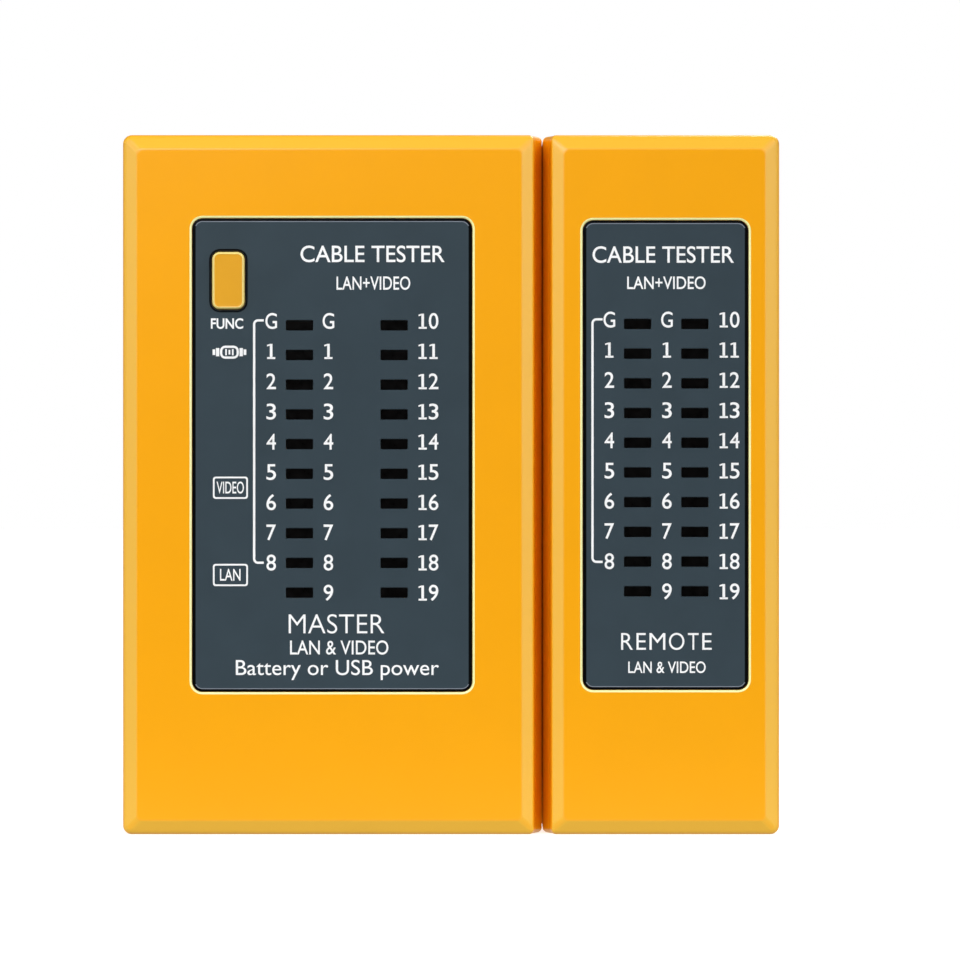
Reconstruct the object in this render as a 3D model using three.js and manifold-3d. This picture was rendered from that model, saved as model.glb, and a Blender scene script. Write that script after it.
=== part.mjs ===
// Network cable tester: a master unit with a wider case and a remote unit that slides up off it.
//
// The pair is modelled face-on, in a frame of its own: x to the right, y up from the bottom ends of
// the cases and z out of the front panels. The last lines turn the whole group so that it stands on
// its bottom ends, with its front panels facing -Y. All sizes are in millimetres.

import * as THREE from "three";
import { mergeVertices } from "three/addons/utils/BufferGeometryUtils.js";
import Module from "manifold-3d";

const wasm = await Module();
wasm.setup();

// ---------------------------------------------------------------- driving dimensions

const CASE_HEIGHT = 104;
const MASTER_WIDTH = 62.2;
const REMOTE_WIDTH = 35;
const UNIT_GAP = 0.4;
const CASE_DEPTH = 26;
const BUTTON_PROUD = 0.5;
const WALL = 2;
const CASE_CORNER = 1.5; // outline corners, seen from the front
const FRONT_EDGE = 2.2; // rounded edge round the front faces
const BACK_EDGE = 1.2;
const SHARPEST_ROUND = 0.4;
const GAP = 0.05; // between pieces that rest on each other

const PAIR_WIDTH = MASTER_WIDTH + UNIT_GAP + REMOTE_WIDTH;
const MASTER_X = [-PAIR_WIDTH / 2, MASTER_WIDTH - PAIR_WIDTH / 2];
const REMOTE_X = [PAIR_WIDTH / 2 - REMOTE_WIDTH, PAIR_WIDTH / 2];
const CASE_Y = [0, CASE_HEIGHT];
const FACE_Z = (CASE_DEPTH - BUTTON_PROUD) / 2;
const BACK_Z = FACE_Z - CASE_DEPTH;
const FACE_INNER_Z = FACE_Z - WALL;
const BACK_INNER_Z = BACK_Z + WALL;

// The front and rear shells meet at the middle of the board's thickness.
const BOARD_THICKNESS = 1.6;
const BOARD_FRONT_Z = FACE_Z - 8.6;
const BOARD_BACK_Z = BOARD_FRONT_Z - BOARD_THICKNESS;
const PARTING_Z = (BOARD_FRONT_Z + BOARD_BACK_Z) / 2;
const SEAM = 0.12; // groove left round the cases where the shells meet
const INTO_WALL = 0.5; // how far ribs, posts and bosses run into the wall that they stand on
const LIP_HEIGHT = 1.2;
const LIP_INSET = 1.1;
const LIP_CLEARANCE = 0.1;

// Front panels, each in a shallow recess.
const PANEL_RECESS = 0.6;
const PANEL_THICKNESS = 0.45;
const PANEL_CORNER = 1.5;
const PANEL_CLEARANCE = 0.1;
const MASTER_PANEL = { x: [-38.4, 3.1], y: [21.3, 91.5] };
const REMOTE_PANEL = { x: [19.6, 44.1], y: [21.6, 91.2] };

// Ten lamps in each column, behind rectangular windows.
const LAMP_ROWS = 10;
const LAMP_PITCH = 4.41;
const WINDOW = { width: 4.03, height: 1.52 };
const LAMP_CLEARANCE = 0.06;
const LAMP_BELOW_PANEL = 0.1;
const MASTER_LAMPS = { columns: [-22.5, -8.45], top: 75.65 };
const REMOTE_LAMPS = { columns: [27.7, 36.2], top: 75.85 };

// Function button over a small push switch on the board.
const BUTTON = { x: -33.05, y: 82.3, width: 4.8, height: 8.5, corner: 1.1, edge: 0.5 };
const BUTTON_CLEARANCE = 0.15;
const BUTTON_TRAVEL = 0.5;
const BUTTON_FLANGE = { overhang: 0.8, thickness: 0.8 };
const BUTTON_STEM = 1.6;
const SWITCH = { side: 6.2, height: 3.6, plunger: 1.75, plungerProud: 0.9, bore: 1.85, boreDepth: 1.3 };

// Sockets along the top end. Their faces lie just inside the top face of the case.
const SOCKET_FACE_Y = CASE_HEIGHT - 0.3;
const LAN = { width: 16, height: 13.3, depth: 16, openingWidth: 11.9, openingHeight: 7.3 };
const LAN_LATCH = { width: 6.2, height: 2 };
const LAN_OPENING_DEPTH = 12.5;
const LAN_CEILING = 2.1; // from the board to the upper wall of the opening
const LAN_CONTACTS = { count: 8, pitch: 1.02, width: 0.45, thickness: 0.35 };
const VIDEO = { width: 15, height: 5.6, depth: 11, chamferWidth: 1.7, chamferHeight: 2 };
const USB = { width: 8.94, height: 3.26, depth: 7.3 };
const SHEET = 0.3; // thickness of the sockets' metal
const SOCKET_CLEARANCE = 0.15; // round each socket in the end walls
const MASTER_LAN_X = -4;
const MASTER_VIDEO_X = -25;
const MASTER_USB_X = -40;
const REMOTE_SOCKETS_X = 33;

// Nine-volt battery lying across the lower end of the master unit.
const BATTERY = { length: 46.4, width: 26.5, thickness: 17.5, corner: 2 };
const BATTERY_MIN = { x: -43.9, y: 5.3, z: BACK_INNER_Z + 1.25 };
const STUDS = { height: 2.05, spacing: 12.95, positive: 2.85, negative: 4 };
const SNAP = { thickness: 4.5, width: 13, overhang: 1.2, studClearance: 0.3 };
const LEAD_RADIUS = 0.7;

// Battery door in the rear of the master unit, hung on two tongues along its lower edge.
const DOOR = { x: [-44.7, 9.3], y: [3.6, 33], thickness: 1.2, corner: 1.5 };
const DOOR_CLEARANCE = 0.2;
const DOOR_LEDGE = 0.8;
const TONGUE = { width: 8, thickness: 0.6, reach: 0.9, root: 0.7 };
const TONGUE_FRONT_Z = BACK_Z + 3;
const TONGUE_SPREAD = 0.34; // of the door's width, from its middle
const DOOR_PAD = { spread: 12, width: 2, margin: 4, clearance: 0.3 };
const THUMB_DISH = { radius: 6, depth: 0.7 };
const DOOR_GRIP = { width: 18, ridges: 5, pitch: 1.3, depth: 0.5 };

// Dovetail rail on the master unit and its groove in the remote unit.
const RAIL = { y: [8, 91.5], z: -4.5, neck: 3, head: 4.5, reach: 2.6 };
const RAIL_CLEARANCE = 0.3;
const GROOVE_WALL = 1.5;

// Screws. Case screws come in from the rear, board screws from the back of the board.
const CASE_SCREW = { head: 2.7, headHeight: 1.8, shank: 1.05, slot: 0.7 };
const BOARD_SCREW = { head: 2.1, headHeight: 1.2, shank: 0.8, slot: 0.5 };
const CASE_SHANK = 12;
const BOARD_SHANK = 5.5;
const REAR_BOSS = { radius: 4.2, sink: 3, top: -1.6, floor: 5.2, hole: 1.35 };
const FRONT_BOSS = { radius: 2.6, pilot: 1.25, pilotDepth: 9, clearance: 0.4 };
const BOARD_POST = { radius: 2.4, pilot: 1, pilotDepth: 5 };
const BOARD_SCREW_HOLE = 1.3;
const MASTER_CASE_SCREWS = [[-43.8, 41], [-43.8, 80], [8.4, 41], [8.4, 80]];
const REMOTE_CASE_SCREWS = [[20.9, 14], [20.9, 82], [43.8, 14], [43.8, 82]];
const MASTER_BOARD_SCREWS = [[-15.5, 38], [-15.5, 84]];
const REMOTE_BOARD_SCREWS = [[32, 30], [32, 83]];

const MASTER_CHIP = { at: [-30, 60], side: 10 };
const REMOTE_CHIP = { at: [32, 55], side: 7 };
const CHIP_HEIGHT = 1.5;
const CAPACITOR = { at: [-2, 62], radius: 3.1, height: 7.2 };

const MASTER_BOARD = { x: [-46.3, 10.9], y: [34.2, 101] };
const REMOTE_BOARD = { x: [18.3, 46.3], y: [22, 101] };
const BATTERY_RIB = { x: [MASTER_X[0] + 1.3, 5], y: [32.5, 33.7] };

// ---------------------------------------------------------------- solids

// A closed geometry as a manifold-3d solid.
function solidOf(geometry) {
  const bare = geometry.clone();
  bare.deleteAttribute("normal");
  bare.deleteAttribute("uv");
  const merged = mergeVertices(bare, 1e-4);
  return new wasm.Manifold(new wasm.Mesh({
    numProp: 3,
    vertProperties: merged.attributes.position.array,
    triVerts: new Uint32Array(merged.index.array),
  }));
}

// A manifold-3d solid as a three.js geometry.
function geometryOf(solid) {
  const mesh = solid.getMesh();
  const geometry = new THREE.BufferGeometry();
  geometry.setAttribute("position", new THREE.BufferAttribute(mesh.vertProperties, 3));
  geometry.setIndex(new THREE.BufferAttribute(mesh.triVerts, 1));
  geometry.computeVertexNormals();
  return geometry;
}

const join = (first, ...others) => others.reduce((whole, other) => whole.add(other), first);
const cut = (first, ...tools) => tools.reduce((whole, tool) => whole.subtract(tool), first);
const middle = ([low, high]) => (low + high) / 2;
const length = ([low, high]) => high - low;
const around = (centre, width) => [centre - width / 2, centre + width / 2];
const grown = ([low, high], by) => [low - by, high + by];

function block(x, y, z) {
  const geometry = new THREE.BoxGeometry(length(x), length(y), length(z));
  geometry.translate(middle(x), middle(y), middle(z));
  return solidOf(geometry);
}

// A rod along z.
function rodZ([x, y], radius, z, sides = 20) {
  const geometry = new THREE.CylinderGeometry(radius, radius, length(z), sides);
  geometry.rotateX(Math.PI / 2);
  geometry.translate(x, y, middle(z));
  return solidOf(geometry);
}

// A rod along x.
function rodX([y, z], radius, x, sides = 20) {
  const geometry = new THREE.CylinderGeometry(radius, radius, length(x), sides);
  geometry.rotateZ(Math.PI / 2);
  geometry.translate(middle(x), y, z);
  return solidOf(geometry);
}

// A straight piece along y whose section is a list of [x, z] points.
function prismY(section, y) {
  const shape = new THREE.Shape(section.map(([x, z]) => new THREE.Vector2(x, z)));
  const geometry = new THREE.ExtrudeGeometry(shape, { depth: length(y), bevelEnabled: false });
  geometry.rotateX(Math.PI / 2);
  geometry.translate(0, y[1], 0);
  return solidOf(geometry);
}

// A rounded rectangle at height z, as points in order round it.
function roundedRing(x, y, z, corner, steps) {
  const centres = [
    [x[1] - corner, y[1] - corner],
    [x[0] + corner, y[1] - corner],
    [x[0] + corner, y[0] + corner],
    [x[1] - corner, y[0] + corner],
  ];
  return centres.flatMap(([cx, cy], quarter) =>
    Array.from({ length: steps + 1 }, (_, step) => {
      const angle = (quarter + step / steps) * (Math.PI / 2);
      return [cx + corner * Math.cos(angle), cy + corner * Math.sin(angle), z];
    }));
}

// A slab with rounded outline corners, and with rounded edges round its front and back faces.
function roundedSlab(x, y, z, corner, frontEdge = 0, backEdge = 0, steps = 3) {
  const levels = [];
  const addEdge = (edge, end, inward, angles) => {
    for (const angle of angles) {
      levels.push({ z: end + inward * edge * (1 - Math.cos(angle)), inset: edge * (1 - Math.sin(angle)) });
    }
  };
  const angles = Array.from({ length: steps + 1 }, (_, step) => (step / steps) * (Math.PI / 2));
  addEdge(backEdge, z[0], 1, backEdge ? angles : [0]);
  addEdge(frontEdge, z[1], -1, frontEdge ? [...angles].reverse() : [0]);
  const rings = levels.map(({ z: level, inset }) =>
    roundedRing(grown(x, -inset), grown(y, -inset), level, Math.max(corner - inset, 0.3), steps));
  return solidOf(ringStack(rings));
}

// The closed skin through a stack of rings, each with the same number of points.
function ringStack(rings) {
  const count = rings[0].length;
  const centreOf = (ring) => [0, 1, 2].map((k) => ring.reduce((sum, p) => sum + p[k], 0) / count);
  const points = [...rings.flat(), centreOf(rings[0]), centreOf(rings.at(-1))];
  const bottom = points.length - 2;
  const top = points.length - 1;
  const lastRing = (rings.length - 1) * count;
  const triangles = [];
  for (let k = 0; k < count; k++) {
    const next = (k + 1) % count;
    triangles.push(bottom, next, k, top, lastRing + k, lastRing + next);
    for (let ring = 0; ring < lastRing; ring += count) {
      const above = ring + count;
      triangles.push(ring + k, ring + next, above + next, ring + k, above + next, above + k);
    }
  }
  const geometry = new THREE.BufferGeometry();
  geometry.setAttribute("position", new THREE.Float32BufferAttribute(points.flat(), 3));
  geometry.setIndex(triangles);
  return geometry;
}

// ---------------------------------------------------------------- materials

function material(color, roughness, metalness = 0) {
  return new THREE.MeshStandardMaterial({ color, roughness, metalness });
}

const YELLOW = material(0xf9ab10, 0.5);
const BUTTON_YELLOW = material(0xe6a52a, 0.4);
const PANEL_GREY = material(0x3a444c, 0.35);
const SMOKED = material(0x0a0a0a, 0.2);
const BLACK = material(0x151515, 0.5);
const BOARD_GREEN = material(0x1d5a34, 0.5);
const STEEL = material(0xb4b6b8, 0.3, 1);
const GOLD = material(0xd0a64a, 0.3, 1);
const BATTERY_GREY = material(0x5a5f66, 0.4, 0.5);
const RED = material(0xb3201c, 0.5);

// ---------------------------------------------------------------- cases

// A whole case as one solid, or its inside when inset is the wall's thickness.
function caseBody(x, inset = 0) {
  const radius = (outer) => Math.max(outer - inset, SHARPEST_ROUND);
  return roundedSlab(grown(x, -inset), grown(CASE_Y, -inset), grown([BACK_Z, FACE_Z], -inset),
    radius(CASE_CORNER), radius(FRONT_EDGE), radius(BACK_EDGE));
}

const forwardOf = (z) => block([-100, 100], [-50, 150], [z, 50]);
const behind = (z) => block([-100, 100], [-50, 150], [-50, z]);

// The band between two insets of the outline, used for the shells' tongue-and-groove lip.
function outlineBand(x, outer, inner, z) {
  const slab = (inset) => roundedSlab(grown(x, -inset), grown(CASE_Y, -inset), z, 0.5);
  return cut(slab(outer), block(grown(x, -inner), grown(CASE_Y, -inner), grown(z, 1)));
}

function windowsOf({ columns, top }) {
  return columns.flatMap((x) =>
    Array.from({ length: LAMP_ROWS }, (_, row) =>
      block(around(x, WINDOW.width), around(top - row * LAMP_PITCH, WINDOW.height),
        [FACE_INNER_Z - 1, FACE_Z + 1])));
}

function frontShell(x, panel, lamps, caseScrews, boardScrews, ribs, cutters) {
  const skin = cut(caseBody(x).intersect(forwardOf(PARTING_Z + SEAM / 2)), caseBody(x, WALL));
  const lip = outlineBand(x, LIP_INSET, WALL, [PARTING_Z - LIP_HEIGHT, PARTING_Z + 1]);
  const bosses = caseScrews.map((at) =>
    rodZ(at, FRONT_BOSS.radius, [REAR_BOSS.top + 0.3, FACE_INNER_Z + INTO_WALL]));
  const posts = boardScrews.map((at) =>
    rodZ(at, BOARD_POST.radius, [BOARD_FRONT_Z + GAP, FACE_INNER_Z + INTO_WALL]));
  const bossPilots = caseScrews.map((at) =>
    rodZ(at, FRONT_BOSS.pilot, [REAR_BOSS.top - 1, REAR_BOSS.top + FRONT_BOSS.pilotDepth], 12));
  const postPilots = boardScrews.map((at) =>
    rodZ(at, BOARD_POST.pilot, [BOARD_FRONT_Z - 1, BOARD_FRONT_Z + BOARD_POST.pilotDepth], 12));
  const recess = roundedSlab(grown(panel.x, PANEL_CLEARANCE), grown(panel.y, PANEL_CLEARANCE),
    [FACE_Z - PANEL_RECESS, FACE_Z + 1], PANEL_CORNER);
  return cut(join(skin, lip, ...bosses, ...posts, ...ribs), recess, ...windowsOf(lamps), ...bossPilots,
    ...postPilots, ...cutters);
}

function rearShell(x, caseScrews, additions, cutters) {
  const skin = cut(caseBody(x).intersect(behind(PARTING_Z - SEAM / 2)), caseBody(x, WALL));
  const rebate = outlineBand(x, LIP_INSET - LIP_CLEARANCE, WALL + 0.5,
    [PARTING_Z - LIP_HEIGHT - LIP_CLEARANCE, PARTING_Z + 1]);
  const bosses = caseScrews.map((at) =>
    rodZ(at, REAR_BOSS.radius, [BACK_Z + 1, REAR_BOSS.top]).intersect(caseBody(x, 0.5)));
  const sinks = caseScrews.map((at) => rodZ(at, REAR_BOSS.sink, [BACK_Z - 1, BACK_Z + REAR_BOSS.floor]));
  const holes = caseScrews.map((at) => rodZ(at, REAR_BOSS.hole, [BACK_Z, REAR_BOSS.top + 1], 12));
  return cut(join(skin, ...bosses, ...additions), rebate, ...sinks, ...holes, ...cutters);
}

function panelPlate(panel, lamps, ...cutters) {
  const back = FACE_Z - PANEL_RECESS + GAP;
  const plate = roundedSlab(panel.x, panel.y, [back, back + PANEL_THICKNESS], PANEL_CORNER);
  return cut(plate, ...windowsOf(lamps), ...cutters);
}

// One column of lamps: a block on the board, with ten rectangular lenses in the windows.
function lampBar(x, top) {
  const bottom = top - (LAMP_ROWS - 1) * LAMP_PITCH;
  const body = block(around(x, WINDOW.width - 0.4), [bottom - 1.2, top + 1.2],
    [BOARD_FRONT_Z + GAP, FACE_INNER_Z - GAP]);
  const face = FACE_Z - PANEL_RECESS + GAP + PANEL_THICKNESS - LAMP_BELOW_PANEL;
  const lenses = Array.from({ length: LAMP_ROWS }, (_, row) =>
    block(around(x, WINDOW.width - 2 * LAMP_CLEARANCE),
      around(top - row * LAMP_PITCH, WINDOW.height - 2 * LAMP_CLEARANCE), [FACE_INNER_Z - 0.5, face]));
  return join(body, ...lenses);
}

// ---------------------------------------------------------------- sockets

const topCut = (x, width, z) =>
  block(grown(around(x, width), SOCKET_CLEARANCE), [CASE_HEIGHT - WALL - 1.5, CASE_HEIGHT + 1], z);
const behindBoard = (height) => [BOARD_BACK_Z - GAP - height - SOCKET_CLEARANCE, PARTING_Z];
const beforeBoard = (height) => [PARTING_Z, BOARD_FRONT_Z + GAP + height + SOCKET_CLEARANCE];
const lanCut = (x) => topCut(x, LAN.width, behindBoard(LAN.height));
const videoCut = (x) => topCut(x, VIDEO.width, beforeBoard(VIDEO.height));
const usbCut = (x) => topCut(x, USB.width, beforeBoard(USB.height));

const lanDepth = (fromBoard) => BOARD_BACK_Z - GAP - fromBoard;

function lanShield(x) {
  const y = [SOCKET_FACE_Y - LAN.depth, SOCKET_FACE_Y];
  const z = [lanDepth(LAN.height), lanDepth(0)];
  const inside = block(around(x, LAN.width - 2 * SHEET), [y[0] + SHEET, y[1] + 1], grown(z, -SHEET));
  return cut(block(around(x, LAN.width), y, z), inside);
}

function lanHousing(x) {
  const y = [SOCKET_FACE_Y - LAN.depth + SHEET + GAP, SOCKET_FACE_Y - 0.1];
  const z = grown([lanDepth(LAN.height), lanDepth(0)], -SHEET - GAP);
  const openingY = [SOCKET_FACE_Y - LAN_OPENING_DEPTH, SOCKET_FACE_Y + 1];
  const ceiling = lanDepth(LAN_CEILING);
  const floor = ceiling - LAN.openingHeight;
  const opening = block(around(x, LAN.openingWidth), openingY, [floor, ceiling]);
  const latch = block(around(x, LAN_LATCH.width), openingY, [floor - LAN_LATCH.height, floor + 1]);
  return cut(block(around(x, LAN.width - 2 * SHEET - 2 * GAP), y, z), opening, latch);
}

// Eight sprung contacts that slope back into the opening from its upper wall, on one carrier.
function lanContacts(x) {
  const ceiling = lanDepth(LAN_CEILING) - 0.1;
  const back = SOCKET_FACE_Y - LAN_OPENING_DEPTH + 0.2;
  const front = SOCKET_FACE_Y - 2.2;
  const drop = 1.5;
  const carrierWidth = LAN_CONTACTS.count * LAN_CONTACTS.pitch + 0.4;
  const carrier = block(around(x, carrierWidth), [back, back + 1.5], [ceiling - drop - 0.6, ceiling]);
  const wires = Array.from({ length: LAN_CONTACTS.count }, (_, k) => {
    const at = x + (k - (LAN_CONTACTS.count - 1) / 2) * LAN_CONTACTS.pitch;
    const half = LAN_CONTACTS.width / 2;
    const geometry = new THREE.BoxGeometry(2 * half, front - back - 1, LAN_CONTACTS.thickness);
    geometry.rotateX(Math.atan2(drop, front - back - 1));
    geometry.translate(at, middle([back + 1, front]), ceiling - drop / 2 - LAN_CONTACTS.thickness);
    return solidOf(geometry);
  });
  return join(carrier, ...wires);
}

// The video socket's outline: a rectangle whose corners next to the board are cut off.
function videoOutline(x, inset) {
  const half = VIDEO.width / 2 - inset;
  const low = BOARD_FRONT_Z + GAP + inset;
  const high = BOARD_FRONT_Z + GAP + VIDEO.height - inset;
  const foot = VIDEO.width / 2 - VIDEO.chamferWidth - inset * 0.6;
  const shoulder = BOARD_FRONT_Z + GAP + VIDEO.chamferHeight + inset * 0.4;
  return [[x - foot, low], [x + foot, low], [x + half, shoulder], [x + half, high], [x - half, high],
    [x - half, shoulder]];
}

function videoShell(x) {
  const y = [SOCKET_FACE_Y - VIDEO.depth, SOCKET_FACE_Y];
  return cut(prismY(videoOutline(x, 0), y), prismY(videoOutline(x, SHEET), [y[0] + SHEET, y[1] + 1]));
}

function videoTongue(x) {
  const back = SOCKET_FACE_Y - VIDEO.depth + SHEET + GAP;
  const base = prismY(videoOutline(x, SHEET + 0.1), [back, back + 2]);
  const centre = BOARD_FRONT_Z + GAP + VIDEO.height * 0.53;
  return join(base, block(around(x, 11.4), [back + 1, SOCKET_FACE_Y - 1.2], around(centre, 1.2)));
}

function usbOutline(x, inset) {
  const z = around(BOARD_FRONT_Z + GAP + USB.height / 2, USB.height - 2 * inset);
  const wide = around(x, USB.width - 2 * inset);
  return roundedRing(wide, z, 0, length(z) / 2 - 0.02, 4).map(([across, up]) => [across, up]);
}

function usbShell(x) {
  const y = [SOCKET_FACE_Y - USB.depth, SOCKET_FACE_Y];
  return cut(prismY(usbOutline(x, 0), y), prismY(usbOutline(x, SHEET), [y[0] + SHEET, y[1] + 1]));
}

function usbTongue(x) {
  const back = SOCKET_FACE_Y - USB.depth + SHEET + GAP;
  const centre = BOARD_FRONT_Z + GAP + USB.height / 2;
  const base = prismY(usbOutline(x, SHEET + 0.1), [back, back + 1.2]);
  return join(base, block(around(x, 6.7), [back + 0.5, SOCKET_FACE_Y - 0.8], around(centre, 0.7)));
}

// ---------------------------------------------------------------- boards and what stands on them

function board(outline, caseScrews, boardScrews) {
  const through = [BOARD_BACK_Z - 1, BOARD_FRONT_Z + 1];
  const plate = block(outline.x, outline.y, [BOARD_BACK_Z, BOARD_FRONT_Z]);
  const notches = caseScrews.map((at) => rodZ(at, FRONT_BOSS.radius + FRONT_BOSS.clearance, through));
  const holes = boardScrews.map((at) => rodZ(at, BOARD_SCREW_HOLE, through, 12));
  return cut(plate, ...notches, ...holes);
}

// A flat square chip on the back of the board.
function chip({ at: [x, y], side }) {
  return roundedSlab(around(x, side), around(y, side), [BOARD_BACK_Z - CHIP_HEIGHT, BOARD_BACK_Z - GAP], 0.3);
}

function capacitor() {
  return rodZ(CAPACITOR.at, CAPACITOR.radius, [BOARD_BACK_Z - CAPACITOR.height, BOARD_BACK_Z - GAP]);
}

// A pan-head screw whose head faces the rear. seat is the level that its head rests on.
function screw(at, seat, size, shankLength) {
  const head = rodZ(at, size.head, [seat - GAP - size.headHeight, seat - GAP], 14);
  const shank = rodZ(at, size.shank, [seat - 1, seat + shankLength], 8);
  const depth = [seat - size.headHeight - 1, seat - size.headHeight * 0.45];
  const across = block(around(at[0], size.slot), around(at[1], size.head * 1.1), depth);
  const along = block(around(at[0], size.head * 1.1), around(at[1], size.slot), depth);
  return cut(join(head, shank), across, along);
}

// ---------------------------------------------------------------- function button

const SWITCH_TOP_Z = BOARD_FRONT_Z + GAP + SWITCH.height;
const PLUNGER_TOP_Z = SWITCH_TOP_Z + SWITCH.plungerProud;
const buttonX = (by = 0) => around(BUTTON.x, BUTTON.width + 2 * by);
const buttonY = (by = 0) => around(BUTTON.y, BUTTON.height + 2 * by);

const buttonHole = () =>
  roundedSlab(buttonX(BUTTON_CLEARANCE), buttonY(BUTTON_CLEARANCE), [FACE_INNER_Z - 1, FACE_Z + 1],
    BUTTON.corner + BUTTON_CLEARANCE);

function functionButton() {
  const flangeTop = FACE_INNER_Z - GAP;
  const flangeZ = [flangeTop - BUTTON_FLANGE.thickness, flangeTop];
  const capZ = [flangeZ[0] + 0.2, FACE_Z + BUTTON_PROUD];
  const cap = roundedSlab(buttonX(), buttonY(), capZ, BUTTON.corner, BUTTON.edge);
  const flange = roundedSlab(buttonX(BUTTON_FLANGE.overhang), buttonY(BUTTON_FLANGE.overhang), flangeZ,
    BUTTON.corner);
  const stem = rodZ([BUTTON.x, BUTTON.y], BUTTON_STEM, [PLUNGER_TOP_Z + GAP, capZ[0]], 12);
  return join(cap, flange, stem);
}

function switchBody() {
  const body = block(around(BUTTON.x, SWITCH.side), around(BUTTON.y, SWITCH.side),
    [BOARD_FRONT_Z + GAP, SWITCH_TOP_Z]);
  const bore = rodZ([BUTTON.x, BUTTON.y], SWITCH.bore, [SWITCH_TOP_Z - SWITCH.boreDepth, SWITCH_TOP_Z + 1]);
  return cut(body, bore);
}

function switchPlunger() {
  const bottom = SWITCH_TOP_Z - SWITCH.boreDepth + BUTTON_TRAVEL + 0.1;
  return rodZ([BUTTON.x, BUTTON.y], SWITCH.plunger, [bottom, PLUNGER_TOP_Z]);
}

// ---------------------------------------------------------------- battery and its door

const BATTERY_X = [BATTERY_MIN.x, BATTERY_MIN.x + BATTERY.length];
const BATTERY_Y = [BATTERY_MIN.y, BATTERY_MIN.y + BATTERY.width];
const BATTERY_Z = [BATTERY_MIN.z, BATTERY_MIN.z + BATTERY.thickness];
const studAt = (side) => [middle(BATTERY_Y) + (side * STUDS.spacing) / 2, middle(BATTERY_Z)];
const SNAP_X = [BATTERY_X[1] + 0.4, BATTERY_X[1] + 0.4 + SNAP.thickness];

// The case is a slab with rounded edges along its length, which is x.
function batteryCase() {
  const ring = (x) =>
    roundedRing(BATTERY_Y, BATTERY_Z, x, BATTERY.corner, 3).map(([y, z, along]) => [along, y, z]);
  return solidOf(ringStack([ring(BATTERY_X[0]), ring(BATTERY_X[1])]));
}

const batteryStud = (side, radius, sides) =>
  rodX(studAt(side), radius, [BATTERY_X[1] + GAP, BATTERY_X[1] + STUDS.height], sides);

function snapConnector() {
  const height = STUDS.spacing + 2 * (STUDS.negative + SNAP.overhang);
  const pad = block(SNAP_X, around(middle(BATTERY_Y), height), around(middle(BATTERY_Z), SNAP.width));
  const hole = (side, radius) =>
    rodX(studAt(side), radius + SNAP.studClearance, [SNAP_X[0] - 1, BATTERY_X[1] + STUDS.height + 0.3], 16);
  return cut(pad, hole(-1, STUDS.positive), hole(1, STUDS.negative));
}

// A lead from the snap connector's pad to the back of the board, round the end of the rib.
function lead(side) {
  const z = middle(BATTERY_Z) + side * 1.6;
  const route = new THREE.CatmullRomCurve3([
    new THREE.Vector3(SNAP_X[1] + 0.5, 20 + side, z),
    new THREE.Vector3(SNAP_X[1] + 2, 20.9 + side, z),
    new THREE.Vector3(SNAP_X[1] + 2.7, 24, z),
    new THREE.Vector3(SNAP_X[1] + 2.2, 28, z),
    new THREE.Vector3(7.4, 32.6, z),
    new THREE.Vector3(4, 36, z),
    new THREE.Vector3(1 + side, 38.6, z + 0.5),
    new THREE.Vector3(0.6 + 1.3 * side, 39.6, BOARD_BACK_Z - 0.5),
  ]);
  const section = new THREE.Shape().absarc(0, 0, LEAD_RADIUS, 0, 2 * Math.PI);
  return new THREE.ExtrudeGeometry(section, { steps: 14, curveSegments: 4, extrudePath: route });
}

const DOOR_Z = [BACK_Z, BACK_Z + DOOR.thickness];
const TONGUE_ROOT_Y = [DOOR.y[0] + TONGUE.root, DOOR.y[0] + 2 * TONGUE.root];
const doorGripY = (ridge) => DOOR.y[1] - 3 - ridge * DOOR_GRIP.pitch;

function batteryDoor() {
  const plate = roundedSlab(DOOR.x, DOOR.y, DOOR_Z, DOOR.corner);
  const tongues = [-1, 1].flatMap((side) => {
    const x = around(middle(DOOR.x) + side * length(DOOR.x) * TONGUE_SPREAD, TONGUE.width);
    const root = block(x, TONGUE_ROOT_Y, [DOOR_Z[1] - 0.3, TONGUE_FRONT_Z]);
    const hook = block(x, [TONGUE_ROOT_Y[0] - TONGUE.reach, TONGUE_ROOT_Y[1]],
      [TONGUE_FRONT_Z - TONGUE.thickness, TONGUE_FRONT_Z]);
    return [root, hook];
  });
  const pads = [-1, 1].map((side) => {
    const x = around(middle(BATTERY_X) + side * DOOR_PAD.spread, DOOR_PAD.width);
    return block(x, grown(BATTERY_Y, -DOOR_PAD.margin), [DOOR_Z[1] - 0.3, BATTERY_Z[0] - DOOR_PAD.clearance]);
  });
  const grooves = Array.from({ length: DOOR_GRIP.ridges }, (_, ridge) =>
    block(around(middle(DOOR.x), DOOR_GRIP.width), around(doorGripY(ridge), DOOR_GRIP.pitch * 0.45),
      [BACK_Z - 1, BACK_Z + DOOR_GRIP.depth]));
  return cut(join(plate, ...tongues, ...pads), ...grooves);
}

function doorOpening() {
  const rebate = roundedSlab(grown(DOOR.x, DOOR_CLEARANCE), grown(DOOR.y, DOOR_CLEARANCE),
    [BACK_Z - 1, DOOR_Z[1] + GAP], DOOR.corner + DOOR_CLEARANCE);
  const hole = block(grown(DOOR.x, -DOOR_LEDGE + 0.2), [DOOR.y[0] + 0.6, DOOR.y[1] - 0.6],
    [BACK_Z - 1, BACK_INNER_Z + 0.5]);
  const dishZ = [BACK_Z - 1, BACK_Z + THUMB_DISH.depth];
  const thumb = rodZ([middle(DOOR.x), DOOR.y[1] + 0.5], THUMB_DISH.radius, dishZ, 32);
  return [rebate, hole, thumb];
}

// ---------------------------------------------------------------- rail and groove

function dovetail(y, grow, x) {
  return prismY([
    [x[0], RAIL.z - RAIL.neck - grow],
    [x[1], RAIL.z - RAIL.head - grow],
    [x[1], RAIL.z + RAIL.head + grow],
    [x[0], RAIL.z + RAIL.neck + grow],
  ], y);
}

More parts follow.
